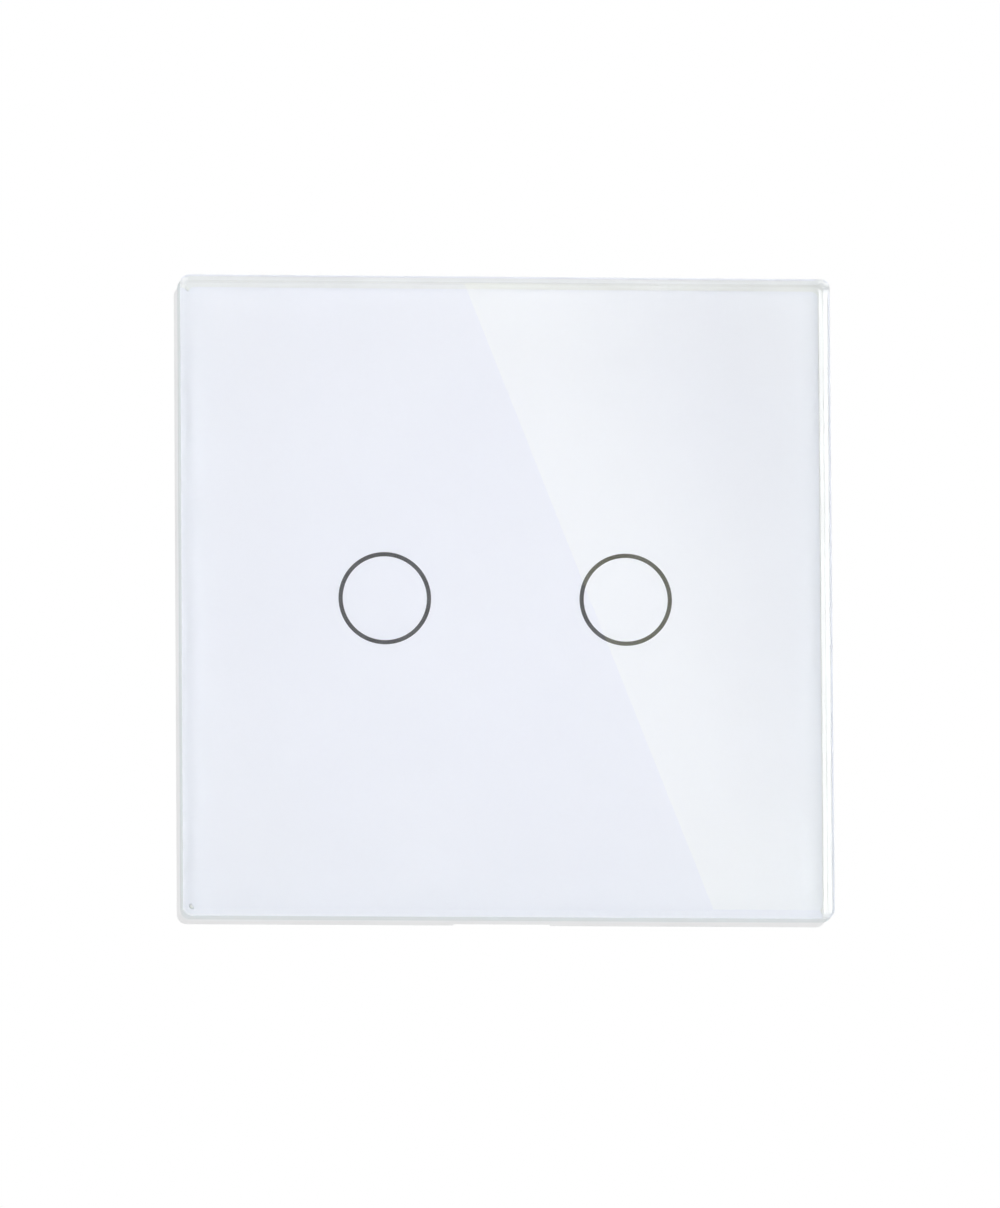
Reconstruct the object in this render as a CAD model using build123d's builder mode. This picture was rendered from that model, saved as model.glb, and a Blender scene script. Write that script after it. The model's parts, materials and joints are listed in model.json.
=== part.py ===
from build123d import *

import os
from math import cos, radians, sin, sqrt, tan

# Double touch switch for a round flush wall box.
# X runs to the right, Z runs up, and the front looks along -Y.
# The origin is the centre of the mounting plate's back face, which lies on the wall.
# A level is a distance in front of the wall: positive towards the room, negative into the wall.

# Glass front
PANEL_WIDTH = 81.0
PANEL_HEIGHT = 80.0
PANEL_CORNER = 1.2
GLASS_THICKNESS = 5.0
GLASS_EDGE_ROUND = 0.9
GLASS_BACK_BEVEL = 0.4
BACKING_THICKNESS = 0.2
BACKING_MARGIN = 1.25
BACKING_CORNER = 0.8
RING_SPACING = 30.0
RING_DIAMETER = 11.0
RING_LINE = 0.52
TAPE_THICKNESS = 0.2
TAPE_MARGIN = 0.8

# Plastic frame behind the glass
FRAME_INSET = 0.1
FRAME_WALL = 1.8
FRAME_WEB = 1.4
FRAME_OPENING_GAP = 3.0
FRAME_OPENING_CORNER = 3.0
FRAME_WALL_GAP = 0.2
ARM_SPACING = 36.0
ARM_WIDTH = 6.0
ARM_THICKNESS = 1.2
ARM_GAP = 0.6
ARM_BUMP_GAP = 0.3
ARM_BUMP_RADIUS = 0.7
ARM_FLEX_GAP = 0.5
ARM_TIP_CLEARANCE = 0.3
FRAME_RIB_WIDTH = 1.0
FRAME_RIB_HEIGHT = 1.6
FRAME_RIB_SPACING = 14.0
FRAME_RIBS_PER_SIDE = 4
PRY_NOTCH_WIDTH = 12.0
PRY_NOTCH_DEPTH = 1.4

# Steel mounting plate
PLATE_THICKNESS = 1.0
PLATE_SIDE_GAP = 2.8
PLATE_CORNER = 4.0
WALL_SCREW_SPACING = 60.0
WALL_SLOT_LENGTH = 7.0
WALL_SLOT_WIDTH = 3.8
PLATE_OPENING_GAP = 0.5
CATCH_WIDTH = 8.0
CATCH_HEIGHT = 2.6
CATCH_RELIEF = 1.0
CATCH_RELIEF_DEPTH = 2.6

# Rear housing, which goes into the wall box
HOUSING_WIDTH = 46.0
HOUSING_CORNER = 8.0
HOUSING_WALL = 1.6
HOUSING_EDGE_ROUND = 0.8
FLANGE_REACH = 3.0
FLANGE_THICKNESS = 1.6
FLANGE_CORNER = 3.0
BACK_CLEARANCE = 0.6
BLANK_FIELD_WIDTH = 30.0
BLANK_FIELD_HEIGHT = 12.0
BLANK_FIELD_DEPTH = 0.3
BLANK_FIELD_RISE = 6.0
VENT_COUNT = 5
VENT_SPACING = 3.4
VENT_WIDTH = 1.2
VENT_LENGTH = 9.0
BOARD_RIB_WIDTH = 1.5
BOARD_RIB_REACH = 1.8
BOARD_RIB_GAP = 0.6
NOSE_WIDTH = 4.0
NOSE_REACH = 1.1
NOSE_HEIGHT = 0.9
NOSE_GAP = 0.15
LEDGE_REACH = 1.4
LEDGE_LENGTH = 6.0
LEDGE_HEIGHT = 1.6
LEDGE_SPACING = 16.0

# Front cover of the module
COVER_DEPTH = 2.9
COVER_FACE = 1.2
COVER_WALL = 1.6
COVER_EDGE_BEVEL = 0.5
PANEL_GAP = 0.3
COVER_SCREW_EDGE = 4.5
COVER_POST_RADIUS = 3.0
PRESS_POST_RADIUS = 1.2
PRESS_POST_EDGE = 1.7
PRESS_POST_RISE = 14.0

# Screws that clamp cover, housing and plate
SCREW_SHANK_RADIUS = 1.2
SCREW_THREAD_GAP = 0.05
SCREW_HOLE_RADIUS = 1.45
SCREW_HEAD_RADIUS = 2.2
SCREW_HEAD_HEIGHT = 1.5
SCREW_SINK_RADIUS = 2.5
SCREW_SINK_DEPTH = 1.8
SCREW_TIP_GAP = 0.1
DRIVER_SLOT_WIDTH = 0.6
DRIVER_SLOT_LENGTH = 2.6
DRIVER_SLOT_DEPTH = 0.8

# Light guides, touch springs and lamps behind each ring
GUIDE_WALL = 1.2
GUIDE_FLANGE_RADIUS = 7.4
GUIDE_FLANGE = 0.8
GUIDE_HOLE_GAP = 0.2
GUIDE_LAMP_GAP = 0.3
LAMP_LENGTH = 1.6
LAMP_WIDTH = 0.8
LAMP_HEIGHT = 0.6
LAMPS_PER_RING = 4
LAMP_START_ANGLE = 45
SPRING_RADIUS = 3.2
SPRING_WIRE = 0.6
SPRING_TURNS = 3.0
SPRING_POINTS_PER_TURN = 48

# Boards
TOUCH_BOARD_THICKNESS = 1.0
TOUCH_BOARD_HEIGHT = 36.0
TOUCH_BOARD_GAP = 0.5
POWER_BOARD_THICKNESS = 1.6
POWER_BOARD_GAP = 0.6
POWER_BOARD_SIDE_GAP = 1.8
TOUCH_BOARD_LEVEL = 0.3
BOARD_SPACING = 7.3

# Chips on the boards
CHIP_LENGTH = 5.0
CHIP_WIDTH = 4.0
CHIP_HEIGHT = 1.4
CHIP_STANDOFF = 0.15
CHIP_LEAD_SPACING = 1.27
CHIP_LEADS_PER_SIDE = 4
CHIP_LEAD_WIDTH = 0.42
CHIP_LEAD_THICKNESS = 0.2
CHIP_LEAD_REACH = 1.0
TOUCH_CHIP_EDGE = 9.0
SUPPLY_CHIP_Z = 10.0

# Plug connection between the boards
HEADER_PINS = 5
HEADER_PIN_SPACING = 2.54
HEADER_WIDTH = 2.5
HEADER_HEIGHT = 2.5
HEADER_Z = -8.0
HEADER_PIN = 0.6
HEADER_PIN_STICKOUT = 0.4
HEADER_PIN_END_GAP = 0.6
SOCKET_GAP = 0.4
SOCKET_HOLE_GAP = 0.1
PIN_HOLE_GAP = 0.1

# Relays
RELAY_SPACING = 27.2
RELAY_Z = 0.3
RELAY_WIDTH = 10.2
RELAY_LENGTH = 19.0
RELAY_STANDOFF = 0.3
RELAY_CASE_WALL = 0.6
RELAY_CASE_TOP = 0.7
RELAY_CASE_HEADROOM = 0.15
RELAY_CASE_ROUND = 0.5
RELAY_BASE_THICKNESS = 1.4
RELAY_BASE_GAP = 0.1
YOKE_THICKNESS = 1.0
YOKE_WIDTH = 6.5
YOKE_END_GAP = 0.9
COIL_OFFSET = -2.0
COIL_LENGTH = 8.2
BOBBIN_FLANGE = 0.7
BOBBIN_FLANGE_RADIUS = 4.0
BOBBIN_TUBE_RADIUS = 2.2
WINDING_RADIUS = 3.7
CORE_RADIUS = 1.5
CORE_HOLE_GAP = 0.1
POLE_RADIUS = 2.0
POLE_THICKNESS = 0.8
ARMATURE_GAP = 0.05
ARMATURE_ANGLE = 4.0
ARMATURE_THICKNESS = 1.0
ARMATURE_WIDTH = 6.0
ARMATURE_LENGTH = 8.5
LEAF_THICKNESS = 0.25
LEAF_WIDTH = 3.6
LEAF_START = 3.0
LEAF_END_GAP = 1.4
CONTACT_EDGE = 1.2
CONTACT_RADIUS = 1.0
CONTACT_THICKNESS = 0.6
CONTACT_HEAD = 0.12
CONTACT_CLEARANCE = 0.05
CONTACT_STRIP = 0.6
CONTACT_STRIP_WIDTH = 2.6
CONTACT_STRIP_END_GAP = 0.3
RELAY_PIN = 0.7
RELAY_PIN_LENGTH = 2.2
RELAY_PIN_HOLE_RADIUS = 0.6
COIL_PIN_SPACING = 6.8
COIL_PIN_OFFSET = 2.6
COIL_PIN_RISE = 1.2

# Terminals for the wires
TERMINAL_COUNT = 3
TERMINAL_DIVIDER = 1.9
TERMINAL_SIDE_WALL = 1.6
TERMINAL_FRONT_WALL = 1.2
TERMINAL_REAR_WALL = 0.8
TERMINAL_WEB = 1.2
TERMINAL_WEB_GAP = 0.4
WIRE_HOLE_RADIUS = 1.8
WIRE_GAP = 3.8
CLAMP_TRAVEL = 2.5
CAGE_WIDTH = 5.0
CAGE_LENGTH = 5.6
CAGE_WALL = 0.7
CAGE_FLOOR = 1.0
CAGE_TOP = 1.6
CAGE_LIFT = 0.5
CAGE_CLEARANCE = 0.3
BAR_WIDTH = 3.0
BAR_THICKNESS = 0.8
BAR_LEG_WIDTH = 1.5
BAR_LEG = 0.7
BAR_LEG_LENGTH = 2.2
BAR_HOLE_RADIUS = 0.95
BAR_TOP_GAP = 0.4
SADDLE = 0.7
SADDLE_GAP = 0.1
TERMINAL_SCREW_RADIUS = 1.5
TERMINAL_SCREW_GAP = 0.06
TERMINAL_HEAD_RADIUS = 2.1
TERMINAL_HEAD_HEIGHT = 1.75
TERMINAL_HEAD_SEAT = 0.05
TERMINAL_WELL_RADIUS = 2.4
TERMINAL_WELL_DEPTH = 0.8
TERMINAL_SLOT_WIDTH = 0.8
ACCESS_HOLE_RADIUS = 2.5

# Supply parts on the power board
CHOKE_RADIUS = 4.4
CHOKE_WAIST = 2.4
CHOKE_WINDING_RADIUS = 4.0
CHOKE_HEIGHT = 9.0
CHOKE_FLANGE = 1.2
CHOKE_Z = -4.6
FILM_CAPACITOR_SIZE = (13.0, 5.6, 11.0)
FILM_CAPACITOR_Z = 4.4
FILM_CAPACITOR_ROUND = 0.4
CAN_RADIUS = 4.0
CAN_HEIGHT = 12.0
CAN_SPOT = (-9.0, 15.6)
CAN_GROOVE_LEVEL = 1.6
CAN_GROOVE = 0.35
CAN_BEVEL = 0.5
SURGE_RADIUS = 3.6
SURGE_THICKNESS = 2.8
SURGE_SPOT = (9.4, 15.2)
SURGE_LEG = 0.6
SURGE_LEG_SPACING = 5.0
SURGE_STANDOFF = 1.0
FUSE_RADIUS = 1.9
FUSE_LENGTH = 7.6
FUSE_CAP = 1.4
FUSE_CAP_STEP = 0.15
FUSE_SPOT = (0.0, 12.0)

# Levels and sizes that follow from the values above
FLANGE_FRONT = PLATE_THICKNESS + FLANGE_THICKNESS
COVER_FRONT = FLANGE_FRONT + COVER_DEPTH
COVER_INSIDE = COVER_FRONT - COVER_FACE
TAPE_BACK = COVER_FRONT + PANEL_GAP - TAPE_THICKNESS
BACKING_BACK = TAPE_BACK + TAPE_THICKNESS
GLASS_BACK = BACKING_BACK + BACKING_THICKNESS
FRAME_FRONT = TAPE_BACK
WEB_BACK = FRAME_FRONT - FRAME_WEB
FRAME_WIDTH = PANEL_WIDTH - 2 * FRAME_INSET
FRAME_HEIGHT = PANEL_HEIGHT - 2 * FRAME_INSET
BACKING_WIDTH = PANEL_WIDTH - 2 * BACKING_MARGIN
BACKING_HEIGHT = PANEL_HEIGHT - 2 * BACKING_MARGIN
RING_OUTER = (RING_DIAMETER + RING_LINE) / 2
RING_INNER = (RING_DIAMETER - RING_LINE) / 2
CATCH_FRONT = PLATE_THICKNESS + CATCH_HEIGHT
ARM_INNER_Z = FRAME_HEIGHT / 2 - FRAME_WALL - ARM_FLEX_GAP - ARM_THICKNESS
PLATE_HEIGHT = 2 * (ARM_INNER_Z - ARM_GAP)
PLATE_WIDTH = FRAME_WIDTH - 2 * FRAME_WALL - 2 * PLATE_SIDE_GAP
FLANGE_SIZE = HOUSING_WIDTH + 2 * FLANGE_REACH
FRAME_OPENING = FLANGE_SIZE + 2 * FRAME_OPENING_GAP
COVER_SCREW_SPACING = FLANGE_SIZE - 2 * COVER_SCREW_EDGE
ARM_END = PLATE_THICKNESS + ARM_TIP_CLEARANCE
TOUCH_BOARD_FRONT = TOUCH_BOARD_LEVEL + TOUCH_BOARD_THICKNESS
TOUCH_BOARD_WIDTH = HOUSING_WIDTH - 2 * HOUSING_WALL - 2 * TOUCH_BOARD_GAP
TOUCH_CHIP_Z = TOUCH_BOARD_HEIGHT / 2 - TOUCH_CHIP_EDGE
PRESS_POST_SPACING = TOUCH_BOARD_WIDTH - 2 * PRESS_POST_EDGE
POWER_BOARD_FRONT = TOUCH_BOARD_LEVEL - BOARD_SPACING
POWER_BOARD_BACK = POWER_BOARD_FRONT - POWER_BOARD_THICKNESS
HOUSING_INSIDE = HOUSING_WIDTH / 2 - HOUSING_WALL
GUIDE_OUTER = RING_DIAMETER / 2 + GUIDE_WALL / 2
GUIDE_INNER = RING_DIAMETER / 2 - GUIDE_WALL / 2
GUIDE_BACK = TOUCH_BOARD_FRONT + LAMP_HEIGHT + GUIDE_LAMP_GAP
HEADER_LENGTH = HEADER_PINS * HEADER_PIN_SPACING
RELAY_BASE_TOP = RELAY_STANDOFF + RELAY_BASE_THICKNESS
YOKE_TOP = RELAY_BASE_TOP + YOKE_THICKNESS + COIL_LENGTH + POLE_THICKNESS
HINGE_HEIGHT = YOKE_TOP + ARMATURE_GAP
YOKE_BACK = -RELAY_LENGTH / 2 + RELAY_CASE_WALL + YOKE_END_GAP
HINGE_OFFSET = YOKE_BACK + YOKE_THICKNESS / 2
LEAF_END_OFFSET = RELAY_LENGTH / 2 - RELAY_CASE_WALL - LEAF_END_GAP
LEAF_REACH = LEAF_END_OFFSET - HINGE_OFFSET
LEAF_TOP = ARMATURE_THICKNESS + LEAF_THICKNESS + CONTACT_HEAD
CONTACT_OFFSET = LEAF_END_OFFSET - CONTACT_EDGE
ARMATURE_TILT = radians(ARMATURE_ANGLE)
OPEN_HEIGHT = HINGE_HEIGHT + LEAF_REACH * sin(ARMATURE_TILT) + LEAF_TOP * cos(ARMATURE_TILT)
RELAY_HEIGHT = OPEN_HEIGHT + RELAY_CASE_HEADROOM + RELAY_CASE_TOP
HOUSING_FLOOR = POWER_BOARD_BACK - RELAY_HEIGHT - BACK_CLEARANCE
HOUSING_BACK = HOUSING_FLOOR - HOUSING_WALL
CAGE_HEIGHT = CAGE_FLOOR + WIRE_GAP + BAR_THICKNESS + BAR_TOP_GAP + CAGE_TOP
BAR_BOTTOM = CAGE_LIFT + CAGE_FLOOR + WIRE_GAP
BAR_TOP = BAR_BOTTOM + BAR_THICKNESS
CAGE_TOP_START = BAR_TOP + BAR_TOP_GAP
WEB_START = CAGE_LIFT + CAGE_HEIGHT + CLAMP_TRAVEL + TERMINAL_WEB_GAP
HEAD_START = WEB_START + TERMINAL_WEB + TERMINAL_HEAD_SEAT
TERMINAL_HEIGHT = HEAD_START + TERMINAL_HEAD_HEIGHT + TERMINAL_WELL_DEPTH
TERMINAL_CELL_WIDTH = CAGE_WIDTH + 2 * CAGE_CLEARANCE
TERMINAL_SPACING = TERMINAL_CELL_WIDTH + TERMINAL_DIVIDER
WIRE_HEIGHT = CAGE_LIFT + CAGE_FLOOR + WIRE_GAP / 2
BLOCK_FRONT_Z = -(HOUSING_INSIDE - POWER_BOARD_GAP)
CELL_FRONT_Z = BLOCK_FRONT_Z + TERMINAL_FRONT_WALL
CAGE_FRONT_Z = CELL_FRONT_Z + CAGE_CLEARANCE
TERMINAL_Z = CAGE_FRONT_Z + CAGE_LENGTH / 2
SADDLE_Z = TERMINAL_Z + CAGE_LENGTH / 2 + CAGE_CLEARANCE
LEG_Z = SADDLE_Z + SADDLE + SADDLE_GAP
CELL_REAR_Z = LEG_Z + BAR_LEG + CAGE_CLEARANCE
BLOCK_REAR_Z = CELL_REAR_Z + TERMINAL_REAR_WALL
BLOCK_WIDTH = (TERMINAL_COUNT - 1) * TERMINAL_SPACING + TERMINAL_CELL_WIDTH + 2 * TERMINAL_SIDE_WALL
BOARD_RIB_SPACING = BLOCK_WIDTH + 2 * BOARD_RIB_GAP + BOARD_RIB_WIDTH


def level_plane(level):
    """A sketch plane parallel to the wall: sketch x is X, sketch y is Z."""
    return Plane.XZ.offset(level)


def board_level(height):
    """The level of a point that stands this high on the rear of the power board."""
    return POWER_BOARD_BACK - height


def ring_spots():
    """The centres of the two rings, left one first."""
    return [(-RING_SPACING / 2, 0), (RING_SPACING / 2, 0)]


def terminal_xs():
    """The places of the terminals along X, left one first."""
    first = -(TERMINAL_COUNT - 1) * TERMINAL_SPACING / 2
    return [first + index * TERMINAL_SPACING for index in range(TERMINAL_COUNT)]


def relay_pin_spots(centre_x):
    """Where a relay's pins go through the power board: coil, coil, common and contact."""
    strip_z = RELAY_LENGTH / 2 - RELAY_CASE_WALL - CONTACT_STRIP_END_GAP - CONTACT_STRIP / 2
    return [
        (centre_x - COIL_PIN_SPACING / 2, RELAY_Z + COIL_PIN_OFFSET),
        (centre_x + COIL_PIN_SPACING / 2, RELAY_Z + COIL_PIN_OFFSET),
        (centre_x, RELAY_Z + HINGE_OFFSET),
        (centre_x, RELAY_Z + strip_z),
    ]


def housing_outline(inset):
    """Add the housing's outline, a square with cut corners, drawn this far inside it."""
    side = HOUSING_WIDTH - 2 * inset
    corner = HOUSING_CORNER - inset * (2 - sqrt(2))
    with BuildSketch(mode=Mode.PRIVATE) as outline:
        Rectangle(side, side)
        chamfer(outline.vertices(), length=corner)
    add(outline.sketch)


# Front panel

def make_glass_plate():
    with BuildPart() as glass_plate:
        with BuildSketch(level_plane(GLASS_BACK)):
            RectangleRounded(PANEL_WIDTH, PANEL_HEIGHT, PANEL_CORNER)
        extrude(amount=GLASS_THICKNESS)
        fillet(glass_plate.faces().sort_by(Axis.Y)[0].edges(), radius=GLASS_EDGE_ROUND)
        chamfer(glass_plate.faces().sort_by(Axis.Y)[-1].edges(), length=GLASS_BACK_BEVEL)
    glass_plate.part.label = "glass_plate"
    export_step(glass_plate.part, "parts/glass_plate.step")


def make_white_backing():
    with BuildPart() as white_backing:
        with BuildSketch(level_plane(BACKING_BACK)):
            RectangleRounded(BACKING_WIDTH, BACKING_HEIGHT, BACKING_CORNER)
            with Locations(*ring_spots()):
                Circle(RING_OUTER, mode=Mode.SUBTRACT)
                Circle(RING_INNER)
        extrude(amount=BACKING_THICKNESS)
    white_backing.part.label = "white_backing"
    export_step(white_backing.part, "parts/white_backing.step")


def make_ring_mark(side, spot):
    with BuildPart() as ring_mark:
        with BuildSketch(level_plane(BACKING_BACK)):
            with Locations(spot):
                Circle(RING_OUTER)
                Circle(RING_INNER, mode=Mode.SUBTRACT)
        extrude(amount=BACKING_THICKNESS)
    ring_mark.part.label = f"ring_mark_{side}"
    export_step(ring_mark.part, f"parts/ring_mark_{side}.step")


def make_adhesive_frame():
    with BuildPart() as adhesive_frame:
        with BuildSketch(level_plane(TAPE_BACK)):
            Rectangle(BACKING_WIDTH - 2 * TAPE_MARGIN, BACKING_HEIGHT - 2 * TAPE_MARGIN)
            opening = FRAME_OPENING + 2 * TAPE_MARGIN
            Rectangle(opening, opening, mode=Mode.SUBTRACT)
        extrude(amount=TAPE_THICKNESS)
    adhesive_frame.part.label = "adhesive_frame"
    export_step(adhesive_frame.part, "parts/adhesive_frame.step")


def make_panel_frame():
    inner_width = FRAME_WIDTH - 2 * FRAME_WALL
    inner_height = FRAME_HEIGHT - 2 * FRAME_WALL
    arm_z = ARM_INNER_Z + ARM_THICKNESS / 2
    bump_z = PLATE_HEIGHT / 2 + ARM_BUMP_GAP + ARM_BUMP_RADIUS
    bump_level = (PLATE_THICKNESS + CATCH_FRONT) / 2
    with BuildPart() as panel_frame:
        # rim
        with BuildSketch(level_plane(FRAME_WALL_GAP)):
            RectangleRounded(FRAME_WIDTH, FRAME_HEIGHT, PANEL_CORNER)
            Rectangle(inner_width, inner_height, mode=Mode.SUBTRACT)
        extrude(amount=FRAME_FRONT - FRAME_WALL_GAP)
        # web that is bonded to the glass
        with BuildSketch(level_plane(WEB_BACK)):
            RectangleRounded(FRAME_WIDTH, FRAME_HEIGHT, PANEL_CORNER)
            RectangleRounded(FRAME_OPENING, FRAME_OPENING, FRAME_OPENING_CORNER, mode=Mode.SUBTRACT)
        extrude(amount=FRAME_WEB)
        # low ribs that stiffen the web at the left and the right
        rib_length = (inner_width - FRAME_OPENING) / 2
        with BuildSketch(level_plane(WEB_BACK - FRAME_RIB_HEIGHT)):
            with GridLocations(FRAME_OPENING + rib_length, FRAME_RIB_SPACING, 2, FRAME_RIBS_PER_SIDE):
                Rectangle(rib_length, FRAME_RIB_WIDTH)
        extrude(amount=FRAME_RIB_HEIGHT)
        # snap arms that grip the plate's catches
        with BuildSketch(level_plane(ARM_END)):
            with GridLocations(ARM_SPACING, 2 * arm_z, 2, 2):
                Rectangle(ARM_WIDTH, ARM_THICKNESS)
        extrude(amount=WEB_BACK - ARM_END)
        for arm_x in (-ARM_SPACING / 2, ARM_SPACING / 2):
            with BuildSketch(Plane.YZ.offset(arm_x - ARM_WIDTH / 2)):
                with Locations((-bump_level, -bump_z), (-bump_level, bump_z)):
                    Circle(ARM_BUMP_RADIUS)
            extrude(amount=ARM_WIDTH)
        # notch at the lower edge for prying the panel off
        with BuildSketch(level_plane(FRAME_WALL_GAP)):
            with Locations((0, -FRAME_HEIGHT / 2)):
                Rectangle(PRY_NOTCH_WIDTH, 3 * FRAME_WALL)
        extrude(amount=PRY_NOTCH_DEPTH, mode=Mode.SUBTRACT)
    panel_frame.part.label = "panel_frame"
    export_step(panel_frame.part, "parts/panel_frame.step")


# Mounting plate

def make_mounting_plate():
    catch_z = PLATE_HEIGHT / 2 - PLATE_THICKNESS / 2
    relief_x = (CATCH_WIDTH + CATCH_RELIEF) / 2
    half_spacing = WALL_SCREW_SPACING / 2
    with BuildPart() as mounting_plate:
        with BuildSketch(level_plane(0)):
            RectangleRounded(PLATE_WIDTH, PLATE_HEIGHT, PLATE_CORNER)
            with BuildSketch(mode=Mode.SUBTRACT):
                housing_outline(-PLATE_OPENING_GAP)
            with Locations((-half_spacing, 0), (half_spacing, 0)):
                SlotOverall(WALL_SLOT_LENGTH, WALL_SLOT_WIDTH, mode=Mode.SUBTRACT)
            with Locations((0, -half_spacing), (0, half_spacing)):
                SlotOverall(WALL_SLOT_LENGTH, WALL_SLOT_WIDTH, rotation=90, mode=Mode.SUBTRACT)
            with GridLocations(COVER_SCREW_SPACING, COVER_SCREW_SPACING, 2, 2):
                Circle(SCREW_SHANK_RADIUS + SCREW_THREAD_GAP, mode=Mode.SUBTRACT)
            for side_x in (-relief_x, relief_x):
                for edge_z in (-PLATE_HEIGHT / 2, PLATE_HEIGHT / 2):
                    with Locations((side_x, edge_z)):
                        with GridLocations(ARM_SPACING, 1, 2, 1):
                            Rectangle(CATCH_RELIEF, 2 * CATCH_RELIEF_DEPTH, mode=Mode.SUBTRACT)
        extrude(amount=PLATE_THICKNESS)
        # catches bent up from the upper and lower edges
        with BuildSketch(level_plane(PLATE_THICKNESS)):
            with GridLocations(ARM_SPACING, 2 * catch_z, 2, 2):
                Rectangle(CATCH_WIDTH, PLATE_THICKNESS)
        extrude(amount=CATCH_HEIGHT)
    mounting_plate.part.label = "mounting_plate"
    export_step(mounting_plate.part, "parts/mounting_plate.step")


# Rear housing

def make_rear_housing():
    inside = HOUSING_INSIDE
    with BuildPart() as rear_housing:
        with BuildSketch(level_plane(HOUSING_BACK)):
            housing_outline(0)
        extrude(amount=PLATE_THICKNESS - HOUSING_BACK)
        fillet(rear_housing.faces().sort_by(Axis.Y)[-1].edges(), radius=HOUSING_EDGE_ROUND)
        with BuildSketch(level_plane(PLATE_THICKNESS)):
            RectangleRounded(FLANGE_SIZE, FLANGE_SIZE, FLANGE_CORNER)
        extrude(amount=FLANGE_THICKNESS)
        with BuildSketch(level_plane(HOUSING_FLOOR)):
            housing_outline(HOUSING_WALL)
        extrude(amount=FLANGE_FRONT - HOUSING_FLOOR, mode=Mode.SUBTRACT)
        # holes for the cover's screws
        with BuildSketch(level_plane(PLATE_THICKNESS)):
            with GridLocations(COVER_SCREW_SPACING, COVER_SCREW_SPACING, 2, 2):
                Circle(SCREW_HOLE_RADIUS)
        extrude(amount=FLANGE_THICKNESS, mode=Mode.SUBTRACT)
        # ribs that the power board lies on
        with BuildSketch(level_plane(HOUSING_FLOOR)):
            with GridLocations(BOARD_RIB_SPACING, 2 * inside - BOARD_RIB_REACH, 2, 2):
                Rectangle(BOARD_RIB_WIDTH, BOARD_RIB_REACH)
        extrude(amount=POWER_BOARD_BACK - HOUSING_FLOOR)
        # snap noses that hold the power board down
        with BuildSketch(level_plane(POWER_BOARD_FRONT + NOSE_GAP)):
            with GridLocations(BOARD_RIB_SPACING - NOSE_WIDTH, 2 * inside - NOSE_REACH, 2, 2):
                Rectangle(NOSE_WIDTH, NOSE_REACH)
        extrude(amount=NOSE_HEIGHT)
        # ledges that the touch board lies on
        with BuildSketch(level_plane(TOUCH_BOARD_LEVEL - LEDGE_HEIGHT)):
            with GridLocations(2 * inside - LEDGE_REACH, LEDGE_SPACING, 2, 2):
                Rectangle(LEDGE_REACH, LEDGE_LENGTH)
        extrude(amount=LEDGE_HEIGHT)
        # driver holes over the terminal screws, and a bare recessed field above them
        with BuildSketch(level_plane(HOUSING_BACK)):
            with Locations(*[(x, TERMINAL_Z) for x in terminal_xs()]):
                Circle(ACCESS_HOLE_RADIUS)
        extrude(amount=HOUSING_WALL, mode=Mode.SUBTRACT)
        with BuildSketch(level_plane(HOUSING_BACK)):
            with Locations((0, BLANK_FIELD_RISE)):
                Rectangle(BLANK_FIELD_WIDTH, BLANK_FIELD_HEIGHT)
        extrude(amount=BLANK_FIELD_DEPTH, mode=Mode.SUBTRACT)
        # wire holes in the lower wall
        with BuildSketch(Plane.XY.offset(-HOUSING_WIDTH / 2)):
            with Locations(*[(x, -board_level(WIRE_HEIGHT)) for x in terminal_xs()]):
                Circle(WIRE_HOLE_RADIUS)
        extrude(amount=HOUSING_WALL, mode=Mode.SUBTRACT)
        # vents in the upper wall
        vent_y = -(POWER_BOARD_BACK + HOUSING_FLOOR) / 2
        with BuildSketch(Plane.XY.offset(inside)):
            with Locations((0, vent_y)):
                with GridLocations(VENT_SPACING, 1, VENT_COUNT, 1):
                    SlotOverall(VENT_LENGTH, VENT_WIDTH, rotation=90)
        extrude(amount=HOUSING_WALL, mode=Mode.SUBTRACT)
    rear_housing.part.label = "rear_housing"
    export_step(rear_housing.part, "parts/rear_housing.step")


# Front cover and what it holds

def make_front_cover():
    with BuildPart() as front_cover:
        with BuildSketch(level_plane(FLANGE_FRONT)):
            RectangleRounded(FLANGE_SIZE, FLANGE_SIZE, FLANGE_CORNER)
        extrude(amount=COVER_DEPTH)
        chamfer(front_cover.faces().sort_by(Axis.Y)[0].edges(), length=COVER_EDGE_BEVEL)
        with BuildSketch(level_plane(FLANGE_FRONT)):
            inner = FLANGE_SIZE - 2 * COVER_WALL
            Rectangle(inner, inner)
            with GridLocations(COVER_SCREW_SPACING, COVER_SCREW_SPACING, 2, 2):
                Circle(COVER_POST_RADIUS, mode=Mode.SUBTRACT)
        extrude(amount=COVER_INSIDE - FLANGE_FRONT, mode=Mode.SUBTRACT)
        # openings for the light guides
        with BuildSketch(level_plane(COVER_INSIDE)):
            with Locations(*ring_spots()):
                Circle(GUIDE_OUTER + GUIDE_HOLE_GAP)
        extrude(amount=COVER_FACE, mode=Mode.SUBTRACT)
        # posts that press the touch board onto its ledges
        with BuildSketch(level_plane(TOUCH_BOARD_FRONT)):
            with GridLocations(PRESS_POST_SPACING, 2 * PRESS_POST_RISE, 2, 2):
                Circle(PRESS_POST_RADIUS)
        extrude(amount=COVER_INSIDE - TOUCH_BOARD_FRONT)
        with Locations(level_plane(COVER_FRONT)):
            with GridLocations(COVER_SCREW_SPACING, COVER_SCREW_SPACING, 2, 2):
                CounterBoreHole(SCREW_HOLE_RADIUS, SCREW_SINK_RADIUS, SCREW_SINK_DEPTH)
    front_cover.part.label = "front_cover"
    export_step(front_cover.part, "parts/front_cover.step")


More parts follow.
